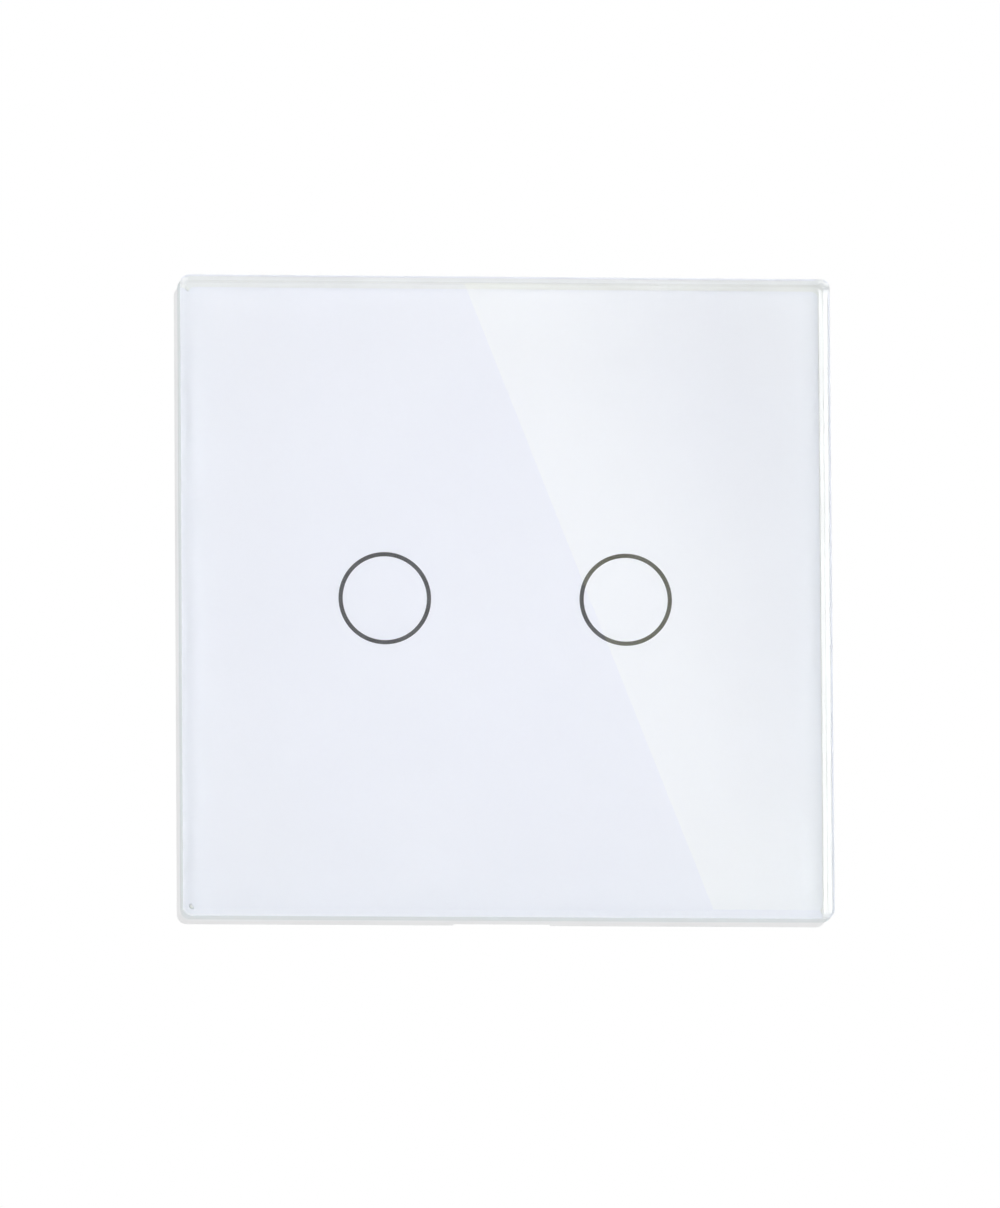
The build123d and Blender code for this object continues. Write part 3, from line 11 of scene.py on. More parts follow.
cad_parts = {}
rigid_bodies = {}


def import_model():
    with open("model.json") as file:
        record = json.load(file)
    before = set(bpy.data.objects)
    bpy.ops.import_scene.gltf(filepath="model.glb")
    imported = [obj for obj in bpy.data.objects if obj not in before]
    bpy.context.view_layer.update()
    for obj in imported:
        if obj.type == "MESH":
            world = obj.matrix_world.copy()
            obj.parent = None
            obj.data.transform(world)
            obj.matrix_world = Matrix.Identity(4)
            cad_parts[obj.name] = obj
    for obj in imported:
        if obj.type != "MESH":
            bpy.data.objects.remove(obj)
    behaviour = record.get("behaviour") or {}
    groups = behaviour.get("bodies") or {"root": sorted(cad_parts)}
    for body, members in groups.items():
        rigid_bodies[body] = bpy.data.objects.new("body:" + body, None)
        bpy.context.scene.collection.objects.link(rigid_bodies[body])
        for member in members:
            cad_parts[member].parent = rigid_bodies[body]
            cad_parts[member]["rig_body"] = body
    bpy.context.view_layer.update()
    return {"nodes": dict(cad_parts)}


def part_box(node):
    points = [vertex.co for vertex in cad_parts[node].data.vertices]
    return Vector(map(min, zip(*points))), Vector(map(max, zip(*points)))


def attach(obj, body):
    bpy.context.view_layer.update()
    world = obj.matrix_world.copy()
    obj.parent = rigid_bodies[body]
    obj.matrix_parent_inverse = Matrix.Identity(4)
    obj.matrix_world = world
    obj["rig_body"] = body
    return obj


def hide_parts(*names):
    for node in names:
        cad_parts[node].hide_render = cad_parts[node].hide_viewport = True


bl_info = {
    "name": "Double touch switch",
    "version": (1, 0, 0),
    "blender": (4, 5, 0),
    "location": "View3D > Sidebar > Switch",
    "description": "Builds the pieces and finishes of a wall switch with a glass front",
    "category": "Object",
}

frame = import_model()

MM = 0.001
SIDES = ("left", "right")
TERMINALS = (1, 2, 3)
BODY_OF = {node: piece["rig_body"] for node, piece in frame["nodes"].items()}

# Corners this near to a plane count as on it, and corners closer than the second as one
NEAR = 0.02 * MM
MERGE = 0.001 * MM

# How much of a face's normal lies along the depth: nearly all on a flat face, hardly any on a side
STRAIGHT_ON = 0.9999
SIDEWAYS = 0.1

# Angles up to which faces are joined as flat, shaded as smooth and left without a rounded edge,
# and the steps that a rounded edge has
FLAT_ANGLE = math.radians(0.5)
SMOOTH_ANGLE = math.radians(35.0)
SHARP_ANGLE = math.radians(40.0)
ROUND_STEPS = 2

# The levels between which a noise mostly stays
LEVEL_LOW = 0.3
LEVEL_HIGH = 0.7

# The wave texture turns by this many radians for each unit, at a scale of one
WAVE_RATE = 20.0

EVEN = (1.0, 1.0, 1.0)
WHITE = (1.0, 1.0, 1.0, 1.0)
GLASS_REFRACTION = 1.5

# The picture in pixels, the camera's sensor in millimetres and its reach in metres
PHOTO_WIDTH = 1000
PHOTO_HEIGHT = 1208
SENSOR_WIDTH = 36.0
CAMERA_REACH = 50.0


def length(name, description, millimetres):
    """A length setting, given in millimetres and kept in metres."""
    return FloatProperty(
        name=name, description=description, default=millimetres * MM, min=0.0,
        precision=5, unit="LENGTH", subtype="DISTANCE",
    )


def color(name, description, red, green, blue):
    """A colour setting."""
    return FloatVectorProperty(
        name=name, description=description, default=(red, green, blue), min=0.0, max=1.0,
        size=3, subtype="COLOR",
    )


def angle(name, description, degrees):
    """An angle setting, given in degrees and kept in radians."""
    return FloatProperty(
        name=name, description=description, default=math.radians(degrees), subtype="ANGLE",
    )


def number(name, description, value, top=1.0):
    """A plain number setting."""
    return FloatProperty(name=name, description=description, default=value, min=0.0, max=top)


# Settings

class GlassSettings(bpy.types.PropertyGroup):
    """The glass sheet, its printed back and the ring marks."""

    corner_round: length("Corner round", "Radius of the sheet's corners seen from the front", 1.2)
    edge_round: length("Front edge round", "Radius of the polished edge round the front", 0.9)
    back_bevel: length("Back bevel", "Width of the ground bevel round the back", 0.4)
    face_rim: length("Face rim", "Width of the rim that keeps each flat face flat", 0.1)
    print_bond: length("Print bond", "Depth to which the print lies in the sheet's back", 0.02)
    segments: IntProperty(
        name="Round segments", description="Steps in each rounded edge", default=8, min=2, max=16)
    glass_tint: color("Glass tint", "Colour of light through the sheet's face", 0.99, 0.997, 0.995)
    edge_tint: color("Edge tint", "Colour that long ways through the sheet take on", 0.7, 0.84, 0.84)
    edge_depth: number(
        "Edge depth", "How fast the edge tint deepens, for each metre of glass", 2.0, 1000.0)
    side_roughness: number("Side roughness", "How matt the ground sides of the glass are", 0.3)
    side_clearness: number(
        "Side clearness", "How much light passes the ground sides of the glass", 0.7)
    side_white: color("Side white", "Colour of the grain on the ground sides", 0.98, 0.972, 0.97)
    print_white: color("Print white", "Colour of the white print", 0.92, 0.93, 1.0)
    ring_grey: color("Ring grey", "Colour of the smoked ring marks", 0.09, 0.09, 0.095)
    tape_white: color("Tape white", "Colour of the bonding tape", 0.74, 0.75, 0.76)


class ShellSettings(bpy.types.PropertyGroup):
    """The moulded frame, cover and housing."""

    frame_round: length("Frame edge round", "Rounding of the frame's edges", 0.2)
    shell_round: length("Shell edge round", "Rounding of the module's edges", 0.15)
    block_round: length("Block edge round", "Rounding of the small moulded pieces", 0.08)
    frame_white: color("Frame white", "Colour of the frame behind the glass", 0.92, 0.92, 0.93)
    module_grey: color("Module grey", "Colour of the cover and the housing", 0.60, 0.61, 0.63)
    terminal_grey: color("Terminal grey", "Colour of the terminal block", 0.10, 0.11, 0.12)
    connector_black: color("Connector black", "Colour of the plug pieces", 0.03, 0.03, 0.034)
    guide_milk: color("Guide milk", "Colour of the light guides", 0.80, 0.83, 0.86)


class HardwareSettings(bpy.types.PropertyGroup):
    """The sheet metal, screws, springs and contacts."""

    sheet_round: length("Sheet edge round", "Rounding of the stamped edges", 0.1)
    screw_round: length("Screw edge round", "Rounding of the screw heads", 0.12)
    zinc: color("Zinc", "Colour of the zinc plated sheet", 0.62, 0.63, 0.64)
    screw_zinc: color("Screw zinc", "Colour of the screws", 0.66, 0.66, 0.64)
    spring_steel: color("Spring steel", "Colour of the touch springs", 0.66, 0.62, 0.56)
    tin: color("Tin", "Colour of the tinned leads", 0.72, 0.72, 0.70)
    bronze: color("Bronze", "Colour of the contacts", 0.72, 0.50, 0.24)
    nickel: color("Nickel", "Colour of the relay iron", 0.54, 0.53, 0.50)


class InsideSettings(bpy.types.PropertyGroup):
    """The boards and what stands on them."""

    board_round: length("Board edge round", "Rounding of the boards, leads and small pieces", 0.04)
    part_round: length("Part edge round", "Rounding of the larger parts on the board", 0.15)
    resist_green: color("Resist green", "Colour of the boards", 0.02, 0.16, 0.07)
    chip_black: color("Chip black", "Colour of the chips", 0.022, 0.022, 0.024)
    lamp_white: color("Lamp white", "Colour of the small lamps", 0.80, 0.80, 0.72)
    ferrite_grey: color("Ferrite grey", "Colour of the choke's core", 0.06, 0.06, 0.065)
    copper: color("Copper", "Colour of the enamelled wire", 0.62, 0.22, 0.08)
    film_yellow: color("Film case yellow", "Colour of the film capacitor", 0.66, 0.42, 0.06)
    sleeve_blue: color("Sleeve blue", "Colour of the smoothing capacitor's sleeve", 0.03, 0.045, 0.09)
    disc_blue: color("Disc blue", "Colour of the surge disc", 0.03, 0.10, 0.34)
    fuse_sand: color("Fuse sand", "Colour of the fuse tube", 0.66, 0.61, 0.52)
    relay_blue: color("Relay blue", "Colour of the relay cases", 0.02, 0.09, 0.30)
    relay_black: color("Relay black", "Colour of the relay bases", 0.03, 0.03, 0.035)
    nylon: color("Nylon", "Colour of the bobbins", 0.74, 0.71, 0.62)


class StageSettings(bpy.types.PropertyGroup):
    """The floor, the light and the camera."""

    camera_left: angle("Camera left", "How far round to the left the camera stands", 5.8)
    camera_below: angle("Camera below", "How far below the middle the camera stands", 7.5)
    camera_roll: angle("Camera roll", "How far the camera is tipped", -0.38)
    camera_distance: length("Camera distance", "From the camera to the panel's front", 3000.0)
    pixels_per_mm: number(
        "Pixels per millimetre", "Scale of the picture at the panel's front", 8.08, 100.0)
    panel_column: number(
        "Panel column", "Picture column of the middle of the panel's front", 508.0, 2000.0)
    panel_row: number(
        "Panel row", "Picture row of the middle of the panel's front", 595.5, 2000.0)
    floor_drop: length("Floor drop", "How far the floor lies below the switch's middle", 500.0)
    floor_size: length("Floor size", "Width of the square floor", 6000.0)
    floor_white: color("Floor white", "Colour of the floor", 0.92, 0.92, 0.92)
    floor_lift: number(
        "Floor lift", "How much paler the floor is where the camera or a reflection sees it", 0.38)
    room_light: number("Room light", "Strength of the even light from all round", 0.68, 10.0)
    lamp_power: number("Lamp power", "Watts of each of the two large lamps in front", 31.5, 1000.0)
    lamp_size: length("Lamp size", "Width of each large lamp", 1300.0)
    lamp_reach: length("Lamp reach", "How far in front of the switch the lamps hang", 3000.0)
    lamp_rise: length("Lamp rise", "How far above the switch's middle the lamps hang", 250.0)
    lamp_middle: length("Lamp middle", "How far right of the switch the gap between the lamps lies", 310.0)
    lamp_gap: length("Lamp gap", "Width of the gap between the lamps", 500.0)
    card_strength: number("Card strength", "Brightness of the mirrored card at its near edge", 2.1, 100.0)
    card_near: color("Card near colour", "Colour of the mirrored card at its near edge", 1.0, 1.0, 0.62)
    card_far: color("Card far colour", "Colour of the mirrored card beyond its bright edge", 0.4, 0.4, 0.0)
    card_fade: length("Card fade", "Width over which the card's bright edge fades", 60.0)
    card_width: length("Card width", "Width of the mirrored card", 500.0)
    card_top_column: number(
        "Card top column", "Picture column of the mirrored edge's upper end", 468.0, 2000.0)
    card_top_row: number(
        "Card top row", "Picture row of the mirrored edge's upper end", 285.0, 2000.0)
    card_foot_column: number(
        "Card foot column", "Picture column of the mirrored edge's lower end", 710.0, 2000.0)
    card_foot_row: number(
        "Card foot row", "Picture row of the mirrored edge's lower end", 905.0, 2000.0)


SETTINGS = {
    "switch_glass": GlassSettings,
    "switch_shell": ShellSettings,
    "switch_hardware": HardwareSettings,
    "switch_inside": InsideSettings,
    "switch_stage": StageSettings,
}


# Modelling

def deselect():
    """Leave nothing selected."""
    bpy.ops.object.select_all(action="DESELECT")


def make_active(piece):
    """Select one piece alone."""
    deselect()
    piece.select_set(True)
    bpy.context.view_layer.objects.active = piece


def add_block(name, low, high):
    """A block between two corners, with its place in its mesh."""
    deselect()
    bpy.ops.mesh.primitive_cube_add(size=1.0, location=(low + high) / 2, scale=high - low)
    block = bpy.context.object
    block.name = name
    bpy.ops.object.transform_apply(location=True, rotation=True, scale=True)
    return block


def bevel_edges(piece, wanted, width, segments):
    """Bevel the edges whose two ends pass a test."""
    make_active(piece)
    bpy.ops.object.mode_set(mode="EDIT")
    bpy.ops.mesh.select_mode(type="EDGE")
    bpy.ops.mesh.select_all(action="DESELECT")
    mesh = bmesh.from_edit_mesh(piece.data)
    for edge in mesh.edges:
        first, second = (vertex.co for vertex in edge.verts)
        edge.select_set(wanted(first, second))
    bmesh.update_edit_mesh(piece.data)
    bpy.ops.mesh.bevel(offset=width, offset_type="OFFSET", segments=segments, affect="EDGES")
    bpy.ops.object.mode_set(mode="OBJECT")


def smooth(piece):
    """Smooth shading, except over sharp edges, that leaves large flat faces flat."""
    make_active(piece)
    bpy.ops.object.shade_smooth_by_angle(angle=SMOOTH_ANGLE)
    flattening = piece.modifiers.new("flat faces", "WEIGHTED_NORMAL")
    flattening.keep_sharp = True
    bpy.ops.object.modifier_apply(modifier=flattening.name)


def rim_faces(piece, wanted, width):
    """Inset the faces whose normal passes a test, so that their flat part has its own rim."""
    make_active(piece)
    bpy.ops.object.mode_set(mode="EDIT")
    bpy.ops.mesh.select_mode(type="FACE")
    bpy.ops.mesh.select_all(action="DESELECT")
    mesh = bmesh.from_edit_mesh(piece.data)
    for face in mesh.faces:
        face.select_set(wanted(face.normal))
    bmesh.update_edit_mesh(piece.data)
    bpy.ops.mesh.inset(thickness=width)
    bpy.ops.object.mode_set(mode="OBJECT")


def rounded_copy(node, name, width):
    """A merged copy of a CAD piece with its sharp edges rounded."""
    piece = bpy.data.objects.new(name, frame["nodes"][node].data.copy())
    bpy.context.scene.collection.objects.link(piece)
    make_active(piece)
    bpy.ops.object.mode_set(mode="EDIT")
    bpy.ops.mesh.select_all(action="SELECT")
    bpy.ops.mesh.remove_doubles(threshold=MERGE)
    bpy.ops.mesh.dissolve_limited(angle_limit=FLAT_ANGLE)
    bpy.ops.object.mode_set(mode="OBJECT")
    rounding = piece.modifiers.new("edge rounding", "BEVEL")
    rounding.width = width
    rounding.segments = ROUND_STEPS
    rounding.limit_method = "ANGLE"
    rounding.angle_limit = SHARP_ANGLE
    rounding.use_clamp_overlap = True
    bpy.ops.object.modifier_apply(modifier=rounding.name)
    smooth(piece)
    return piece


def take_place(piece, *nodes):
    """The piece rides on the body of the CAD pieces that it stands for."""
    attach(piece, BODY_OF[nodes[0]])
    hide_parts(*nodes)


def finish_piece(piece, material):
    """One material all over the piece."""
    piece.data.materials.clear()
    piece.data.materials.append(material)


def finish_node(node, material):
    """One material all over a CAD piece."""
    finish_piece(frame["nodes"][node], material)


def dress(node, width, material):
    """A CAD piece with rounded edges and its own material takes the plain piece's place."""
    piece = rounded_copy(node, f"{node}_dressed", width)
    finish_piece(piece, material)
    take_place(piece, node)


# Materials

def main_shader(material):
    """The shader that the material's textures feed."""
    return material.node_tree.nodes["Principled BSDF"]


def new_material(name, base, roughness, metallic=0.0, specular=0.5, coat=0.0):
    """A material with one main shader, whose plain values stand on its own sockets."""
    material = bpy.data.materials.new(name)
    material.use_nodes = True
    shader = main_shader(material)
    shader.inputs["Base Color"].default_value = (*base, 1.0)
    shader.inputs["Roughness"].default_value = roughness
    shader.inputs["Metallic"].default_value = metallic
    shader.inputs["Specular IOR Level"].default_value = specular
    shader.inputs["Coat Weight"].default_value = coat
    material.diffuse_color = (*base, 1.0)
    return material


def place(material, stretch=EVEN, turn=(0.0, 0.0, 0.0)):
    """The socket that gives a point's place on the piece, stretched or turned."""
    nodes = material.node_tree.nodes
    coordinates = nodes.new("ShaderNodeTexCoord")
    mapping = nodes.new("ShaderNodeMapping")
    mapping.inputs["Scale"].default_value = stretch
    mapping.inputs["Rotation"].default_value = turn
    material.node_tree.links.new(coordinates.outputs["Object"], mapping.inputs["Vector"])
    return mapping.outputs["Vector"]


def speckle(material, size, detail=3.0, stretch=EVEN):
    """Noise whose grains are about this large."""
    texture = material.node_tree.nodes.new("ShaderNodeTexNoise")
    texture.inputs["Scale"].default_value = 1.0 / size
    texture.inputs["Detail"].default_value = detail
    material.node_tree.links.new(place(material, stretch), texture.inputs["Vector"])
    return texture.outputs["Fac"]


def cells(material, size):
    """A level for each cell of an uneven mosaic, as on zinc."""
    texture = material.node_tree.nodes.new("ShaderNodeTexVoronoi")
    texture.inputs["Scale"].default_value = 1.0 / size
    material.node_tree.links.new(place(material), texture.inputs["Vector"])
    separate = material.node_tree.nodes.new("ShaderNodeSeparateColor")
    material.node_tree.links.new(texture.outputs["Color"], separate.inputs["Color"])
    return separate.outputs["Red"]


def bands(material, width, axis, uneven):
    """Bands across one axis, each about this wide and a little uneven."""
    texture = material.node_tree.nodes.new("ShaderNodeTexWave")
    texture.bands_direction = axis
    texture.inputs["Scale"].default_value = 2 * math.pi / (WAVE_RATE * width)
    texture.inputs["Distortion"].default_value = uneven
    material.node_tree.links.new(place(material), texture.inputs["Vector"])
    return texture.outputs["Fac"]


def between(material, level, low, high, from_low=LEVEL_LOW, from_high=LEVEL_HIGH):
    """Turn a texture's level into a number between two values."""
    ramp = material.node_tree.nodes.new("ShaderNodeMapRange")
    ramp.inputs["From Min"].default_value = from_low
    ramp.inputs["From Max"].default_value = from_high
    ramp.inputs["To Min"].default_value = low
    ramp.inputs["To Max"].default_value = high
    material.node_tree.links.new(level, ramp.inputs["Value"])
    return ramp.outputs["Result"]


def shade(base, factor):
    """A colour made darker or lighter."""
    return tuple(min(1.0, channel * factor) for channel in base)


def tint(material, level, base, low, high):
    """Shade the surface's colour between two factors by a texture's level."""
    ramp = material.node_tree.nodes.new("ShaderNodeValToRGB")
    ramp.color_ramp.elements[0].position = LEVEL_LOW
    ramp.color_ramp.elements[0].color = (*shade(base, low), 1.0)
    ramp.color_ramp.elements[1].position = LEVEL_HIGH
    ramp.color_ramp.elements[1].color = (*shade(base, high), 1.0)
    material.node_tree.links.new(level, ramp.inputs["Fac"])
    material.node_tree.links.new(ramp.outputs["Color"], main_shader(material).inputs["Base Color"])


def gloss(material, level, low, high):
    """Let the roughness wander between two values."""
    roughness = between(material, level, low, high)
    material.node_tree.links.new(roughness, main_shader(material).inputs["Roughness"])


def relief(material, level, depth, strength=1.0):
    """Raise the surface by a texture's level, this deep."""
    bump = material.node_tree.nodes.new("ShaderNodeBump")
    bump.inputs["Strength"].default_value = strength
    bump.inputs["Distance"].default_value = depth
    material.node_tree.links.new(level, bump.inputs["Height"])
    material.node_tree.links.new(bump.outputs["Normal"], main_shader(material).inputs["Normal"])


def moulded(name, base, roughness, grain=0.35 * MM, depth=0.004 * MM):
    """Injection moulded plastic: fine spark grain and a faint cloudiness."""
    material = new_material(name, base, roughness)
    tint(material, speckle(material, 9 * MM), base, 0.97, 1.03)
    gloss(material, speckle(material, 4 * MM), roughness - 0.06, roughness + 0.06)
    relief(material, speckle(material, grain, 2.0), depth)
    return material


def sheet_glass(settings, name, roughness, clearness):
    """Float glass whose long ways through take on a tint."""
    material = new_material(name, settings.glass_tint, roughness)
    shader = main_shader(material)
    shader.inputs["Transmission Weight"].default_value = clearness
    shader.inputs["IOR"].default_value = GLASS_REFRACTION
    absorption = material.node_tree.nodes.new("ShaderNodeVolumeAbsorption")
    absorption.inputs["Color"].default_value = (*settings.edge_tint, 1.0)
    absorption.inputs["Density"].default_value = settings.edge_depth
    output = material.node_tree.nodes["Material Output"]
    material.node_tree.links.new(absorption.outputs["Volume"], output.inputs["Volume"])
    return material


def clear_glass(settings):
    """The polished faces, with a trace of waviness."""
    material = sheet_glass(settings, "clear_glass", 0.0, 1.0)
    relief(material, speckle(material, 60 * MM, 0.0), 0.001 * MM, 0.5)
    return material


def ground_glass(settings):
    """The ground sides, with a fine grain."""
    material = sheet_glass(settings, "ground_glass", settings.side_roughness, settings.side_clearness)
    tint(material, speckle(material, 3 * MM), settings.side_white, 0.985, 1.015)
    relief(material, speckle(material, 0.1 * MM), 0.001 * MM)
    return material


def white_print(settings):
    """Opaque white print on the glass's back, faintly uneven."""
    base = settings.print_white
    material = new_material("white_print", base, 0.55, specular=0.0)
    tint(material, speckle(material, 18 * MM, 2.0), base, 0.994, 1.006)
    relief(material, speckle(material, 0.3 * MM), 0.002 * MM)
    return material


def smoked_print(settings):
    """Dark print that lets a little light through, slightly patchy."""
    base = settings.ring_grey
    material = new_material("smoked_print", base, 0.4, specular=0.0)
    tint(material, speckle(material, 2.5 * MM), base, 0.8, 1.3)
    gloss(material, speckle(material, 1 * MM), 0.35, 0.5)
    return material


def foam_tape(settings):
    """Foam tape with open pores at its cut edge."""
    base = settings.tape_white
    material = new_material("foam_tape", base, 0.85)
    tint(material, speckle(material, 0.4 * MM), base, 0.6, 1.5)
    relief(material, speckle(material, 0.25 * MM), 0.05 * MM)
    return material


def milky_plastic(settings):
    """Clear plastic with milk in it, for the light guides."""
    base = settings.guide_milk
    material = new_material("milky_plastic", base, 0.25)
    shader = main_shader(material)
    shader.inputs["Transmission Weight"].default_value = 0.35
    shader.inputs["Subsurface Weight"].default_value = 0.3
    shader.inputs["Subsurface Scale"].default_value = 1 * MM
    tint(material, speckle(material, 3 * MM), base, 0.95, 1.03)
    return material


def zinc_sheet(settings):
    """Zinc plated sheet steel: rolling lines, faint spangle and dull spots."""
    base = settings.zinc
    material = new_material("zinc_sheet", base, 0.38, metallic=1.0)
    tint(material, cells(material, 0.5 * MM), base, 0.97, 1.03)
    gloss(material, speckle(material, 0.9 * MM, 4.0), 0.3, 0.5)
    relief(material, speckle(material, 0.12 * MM, 2.0, stretch=(1.0, 1.0, 0.08)), 0.006 * MM)
    return material


def screw_zinc(settings):
    """Zinc plated screw, brushed round by its tool."""
    base = settings.screw_zinc
    material = new_material("screw_zinc", base, 0.3, metallic=1.0)
    tint(material, speckle(material, 0.8 * MM), base, 0.85, 1.1)
    gloss(material, speckle(material, 0.3 * MM), 0.22, 0.42)
    relief(material, speckle(material, 0.08 * MM), 0.004 * MM)
    return material


def drawn_wire(settings):
    """Drawn spring wire with lines along it."""
    base = settings.spring_steel
    material = new_material("drawn_wire", base, 0.28, metallic=1.0)
    tint(material, speckle(material, 0.5 * MM), base, 0.85, 1.1)
    relief(material, speckle(material, 0.06 * MM, 2.0, stretch=(1.0, 0.2, 1.0)), 0.003 * MM)
    return material


def rolled_metal(name, base, roughness):
    """Small rolled or tinned metal with a soft, slightly patchy shine."""
    material = new_material(name, base, roughness, metallic=1.0)
    tint(material, speckle(material, 0.7 * MM), base, 0.84, 1.12)
    gloss(material, speckle(material, 0.4 * MM), roughness - 0.08, roughness + 0.1)
    relief(material, speckle(material, 0.1 * MM, 2.0, stretch=(1.0, 1.0, 0.2)), 0.003 * MM)
    return material


def board_laminate(settings):
    """Solder resist over copper tracks, which show as faint raised lines."""
    base = settings.resist_green
    material = new_material("board_laminate", base, 0.35, coat=0.3)
    tracks = material.node_tree.nodes.new("ShaderNodeTexBrick")
    tracks.inputs["Scale"].default_value = 1.0
    tracks.inputs["Brick Width"].default_value = 5.1 * MM
    tracks.inputs["Row Height"].default_value = 1.27 * MM
    tracks.inputs["Mortar Size"].default_value = 0.25 * MM
    tracks.inputs["Mortar Smooth"].default_value = 0.2
    across = place(material, turn=(math.pi / 2, 0.0, 0.0))
    material.node_tree.links.new(across, tracks.inputs["Vector"])
    level = between(material, tracks.outputs["Fac"], LEVEL_LOW, LEVEL_HIGH, 0.0, 1.0)
    tint(material, level, base, 1.35, 1.0)
    relief(material, tracks.outputs["Fac"], 0.035 * MM, 0.6)
    return material


def wound_wire(settings):
    """Enamelled copper wire laid in close turns, with painted shade in the grooves between turns and a
    painted highlight on their crests.
    """
    base = settings.copper
    material = new_material("wound_wire", base, 0.3, metallic=0.8, coat=0.5)
    turns_and_groove_shade = bands(material, 0.18 * MM, "Y", 0.2)
    # The bands that raise the turns also colour them: painted shade darkens each groove and a painted
    # highlight lightens each crest
    tint(material, turns_and_groove_shade, base, 0.5, 1.25)
    relief(material, turns_and_groove_shade, 0.09 * MM)
    return material


def ferrite(settings):
    """Sintered ferrite, dull and slightly pitted."""
    base = settings.ferrite_grey
    material = new_material("ferrite", base, 0.6)
    tint(material, speckle(material, 0.6 * MM), base, 0.7, 1.4)
    relief(material, speckle(material, 0.15 * MM), 0.015 * MM)
    return material


def fired_coating(name, base, roughness=0.3):
    """A dipped or fired ceramic coat that pools a little."""
    material = new_material(name, base, roughness, coat=0.3)
    tint(material, speckle(material, 2 * MM), base, 0.8, 1.2)
    relief(material, speckle(material, 1.2 * MM), 0.03 * MM, 0.6)
    return material


def shrunk_sleeve(settings):
    """Shrunk plastic sleeve round a can, with faint draw lines."""
    base = settings.sleeve_blue
    material = new_material("shrunk_sleeve", base, 0.3, coat=0.2)
    tint(material, speckle(material, 3 * MM), base, 0.8, 1.25)
    relief(material, speckle(material, 0.5 * MM, 2.0, stretch=(1.0, 0.1, 1.0)), 0.01 * MM)
    return material


def lamp_resin(settings):
    """The small lamps: clear resin over a pale body."""
    base = settings.lamp_white
    material = new_material("lamp_resin", base, 0.2, coat=0.6)
    tint(material, speckle(material, 0.4 * MM), base, 0.85, 1.1)
    return material


# The stage

def seen_ray(tree):
    """One for rays from the camera and those that glass and gloss pass on, and nought for the rest."""
    path = tree.nodes.new("ShaderNodeLightPath")
    level = path.outputs["Is Camera Ray"]
    for name in ("Is Glossy Ray", "Is Transmission Ray"):
        either = tree.nodes.new("ShaderNodeMath")
        either.operation = "MAXIMUM"
        tree.links.new(level, either.inputs[0])
        tree.links.new(path.outputs[name], either.inputs[1])
        level = either.outputs[0]
    return level


def room_world(settings):
    """White where the camera sees it or glass and gloss show it, and dimmer as light."""
    world = bpy.data.worlds.new("room")
    bpy.context.scene.world = world
    world.use_nodes = True
    nodes = world.node_tree.nodes
    links = world.node_tree.links
    background = nodes["Background"]
    background.inputs["Color"].default_value = WHITE
    strength = nodes.new("ShaderNodeMapRange")
    strength.inputs["To Min"].default_value = settings.room_light
    strength.inputs["To Max"].default_value = 1.0
    links.new(seen_ray(world.node_tree), strength.inputs["Value"])
    links.new(strength.outputs["Result"], background.inputs["Strength"])


def add_floor(settings):
    """A plain pale floor, well below the switch, and paler still where it is seen."""
    deselect()
    middle = (0.0, 0.0, -settings.floor_drop)
    bpy.ops.mesh.primitive_plane_add(size=settings.floor_size, location=middle)
    floor = bpy.context.object
    floor.name = "floor"
    bpy.ops.object.transform_apply(location=True, rotation=True, scale=True)
    base = settings.floor_white
    material = new_material("floor_white", base, 0.7)
    tint(material, speckle(material, 300 * MM, 2.0), base, 0.99, 1.01)
    tree = material.node_tree
    lift = tree.nodes.new("ShaderNodeMath")
    lift.operation = "MULTIPLY"
    lift.inputs[1].default_value = settings.floor_lift
    tree.links.new(seen_ray(tree), lift.inputs[0])
    shader = main_shader(material)
    shader.inputs["Emission Color"].default_value = WHITE
    tree.links.new(lift.outputs[0], shader.inputs["Emission Strength"])
    finish_piece(floor, material)


def add_lamps(settings):
    """Two large soft lamps in front, side by side, which the glass doesn't mirror."""
    aside = (settings.lamp_size + settings.lamp_gap) / 2
    for side, sign in zip(SIDES, (-1, 1)):
        data = bpy.data.lights.new(f"lamp_{side}", "AREA")
        data.shape = "SQUARE"
        data.size = settings.lamp_size
        data.energy = settings.lamp_power
        lamp = bpy.data.objects.new(f"lamp_{side}", data)
        bpy.context.scene.collection.objects.link(lamp)
        lamp.location = (settings.lamp_middle + sign * aside, -settings.lamp_reach, settings.lamp_rise)
        lamp.rotation_euler = (-lamp.location).to_track_quat("-Z", "Y").to_euler()
        lamp.visible_camera = False
        lamp.visible_glossy = False


def panel_middle():
    """The middle of the panel's front."""
    low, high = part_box("glass_plate")
    return Vector(((low.x + high.x) / 2, low.y, (low.z + high.z) / 2))


def panel_point(settings, column, row):
    """The point of the panel's front that the picture shows at this column and row."""
    across = (column - settings.panel_column) / settings.pixels_per_mm * MM
    up = (settings.panel_row - row) / settings.pixels_per_mm * MM
    return panel_middle() + Vector((across, 0.0, up))


def camera_place(settings):
    """Where the camera stands, to the left of the panel's middle and below it."""
    flat = math.cos(settings.camera_below)
    way = Vector((
        -math.sin(settings.camera_left) * flat,
        -math.cos(settings.camera_left) * flat,
        -math.sin(settings.camera_below),
    ))
    return panel_middle() + way * settings.camera_distance


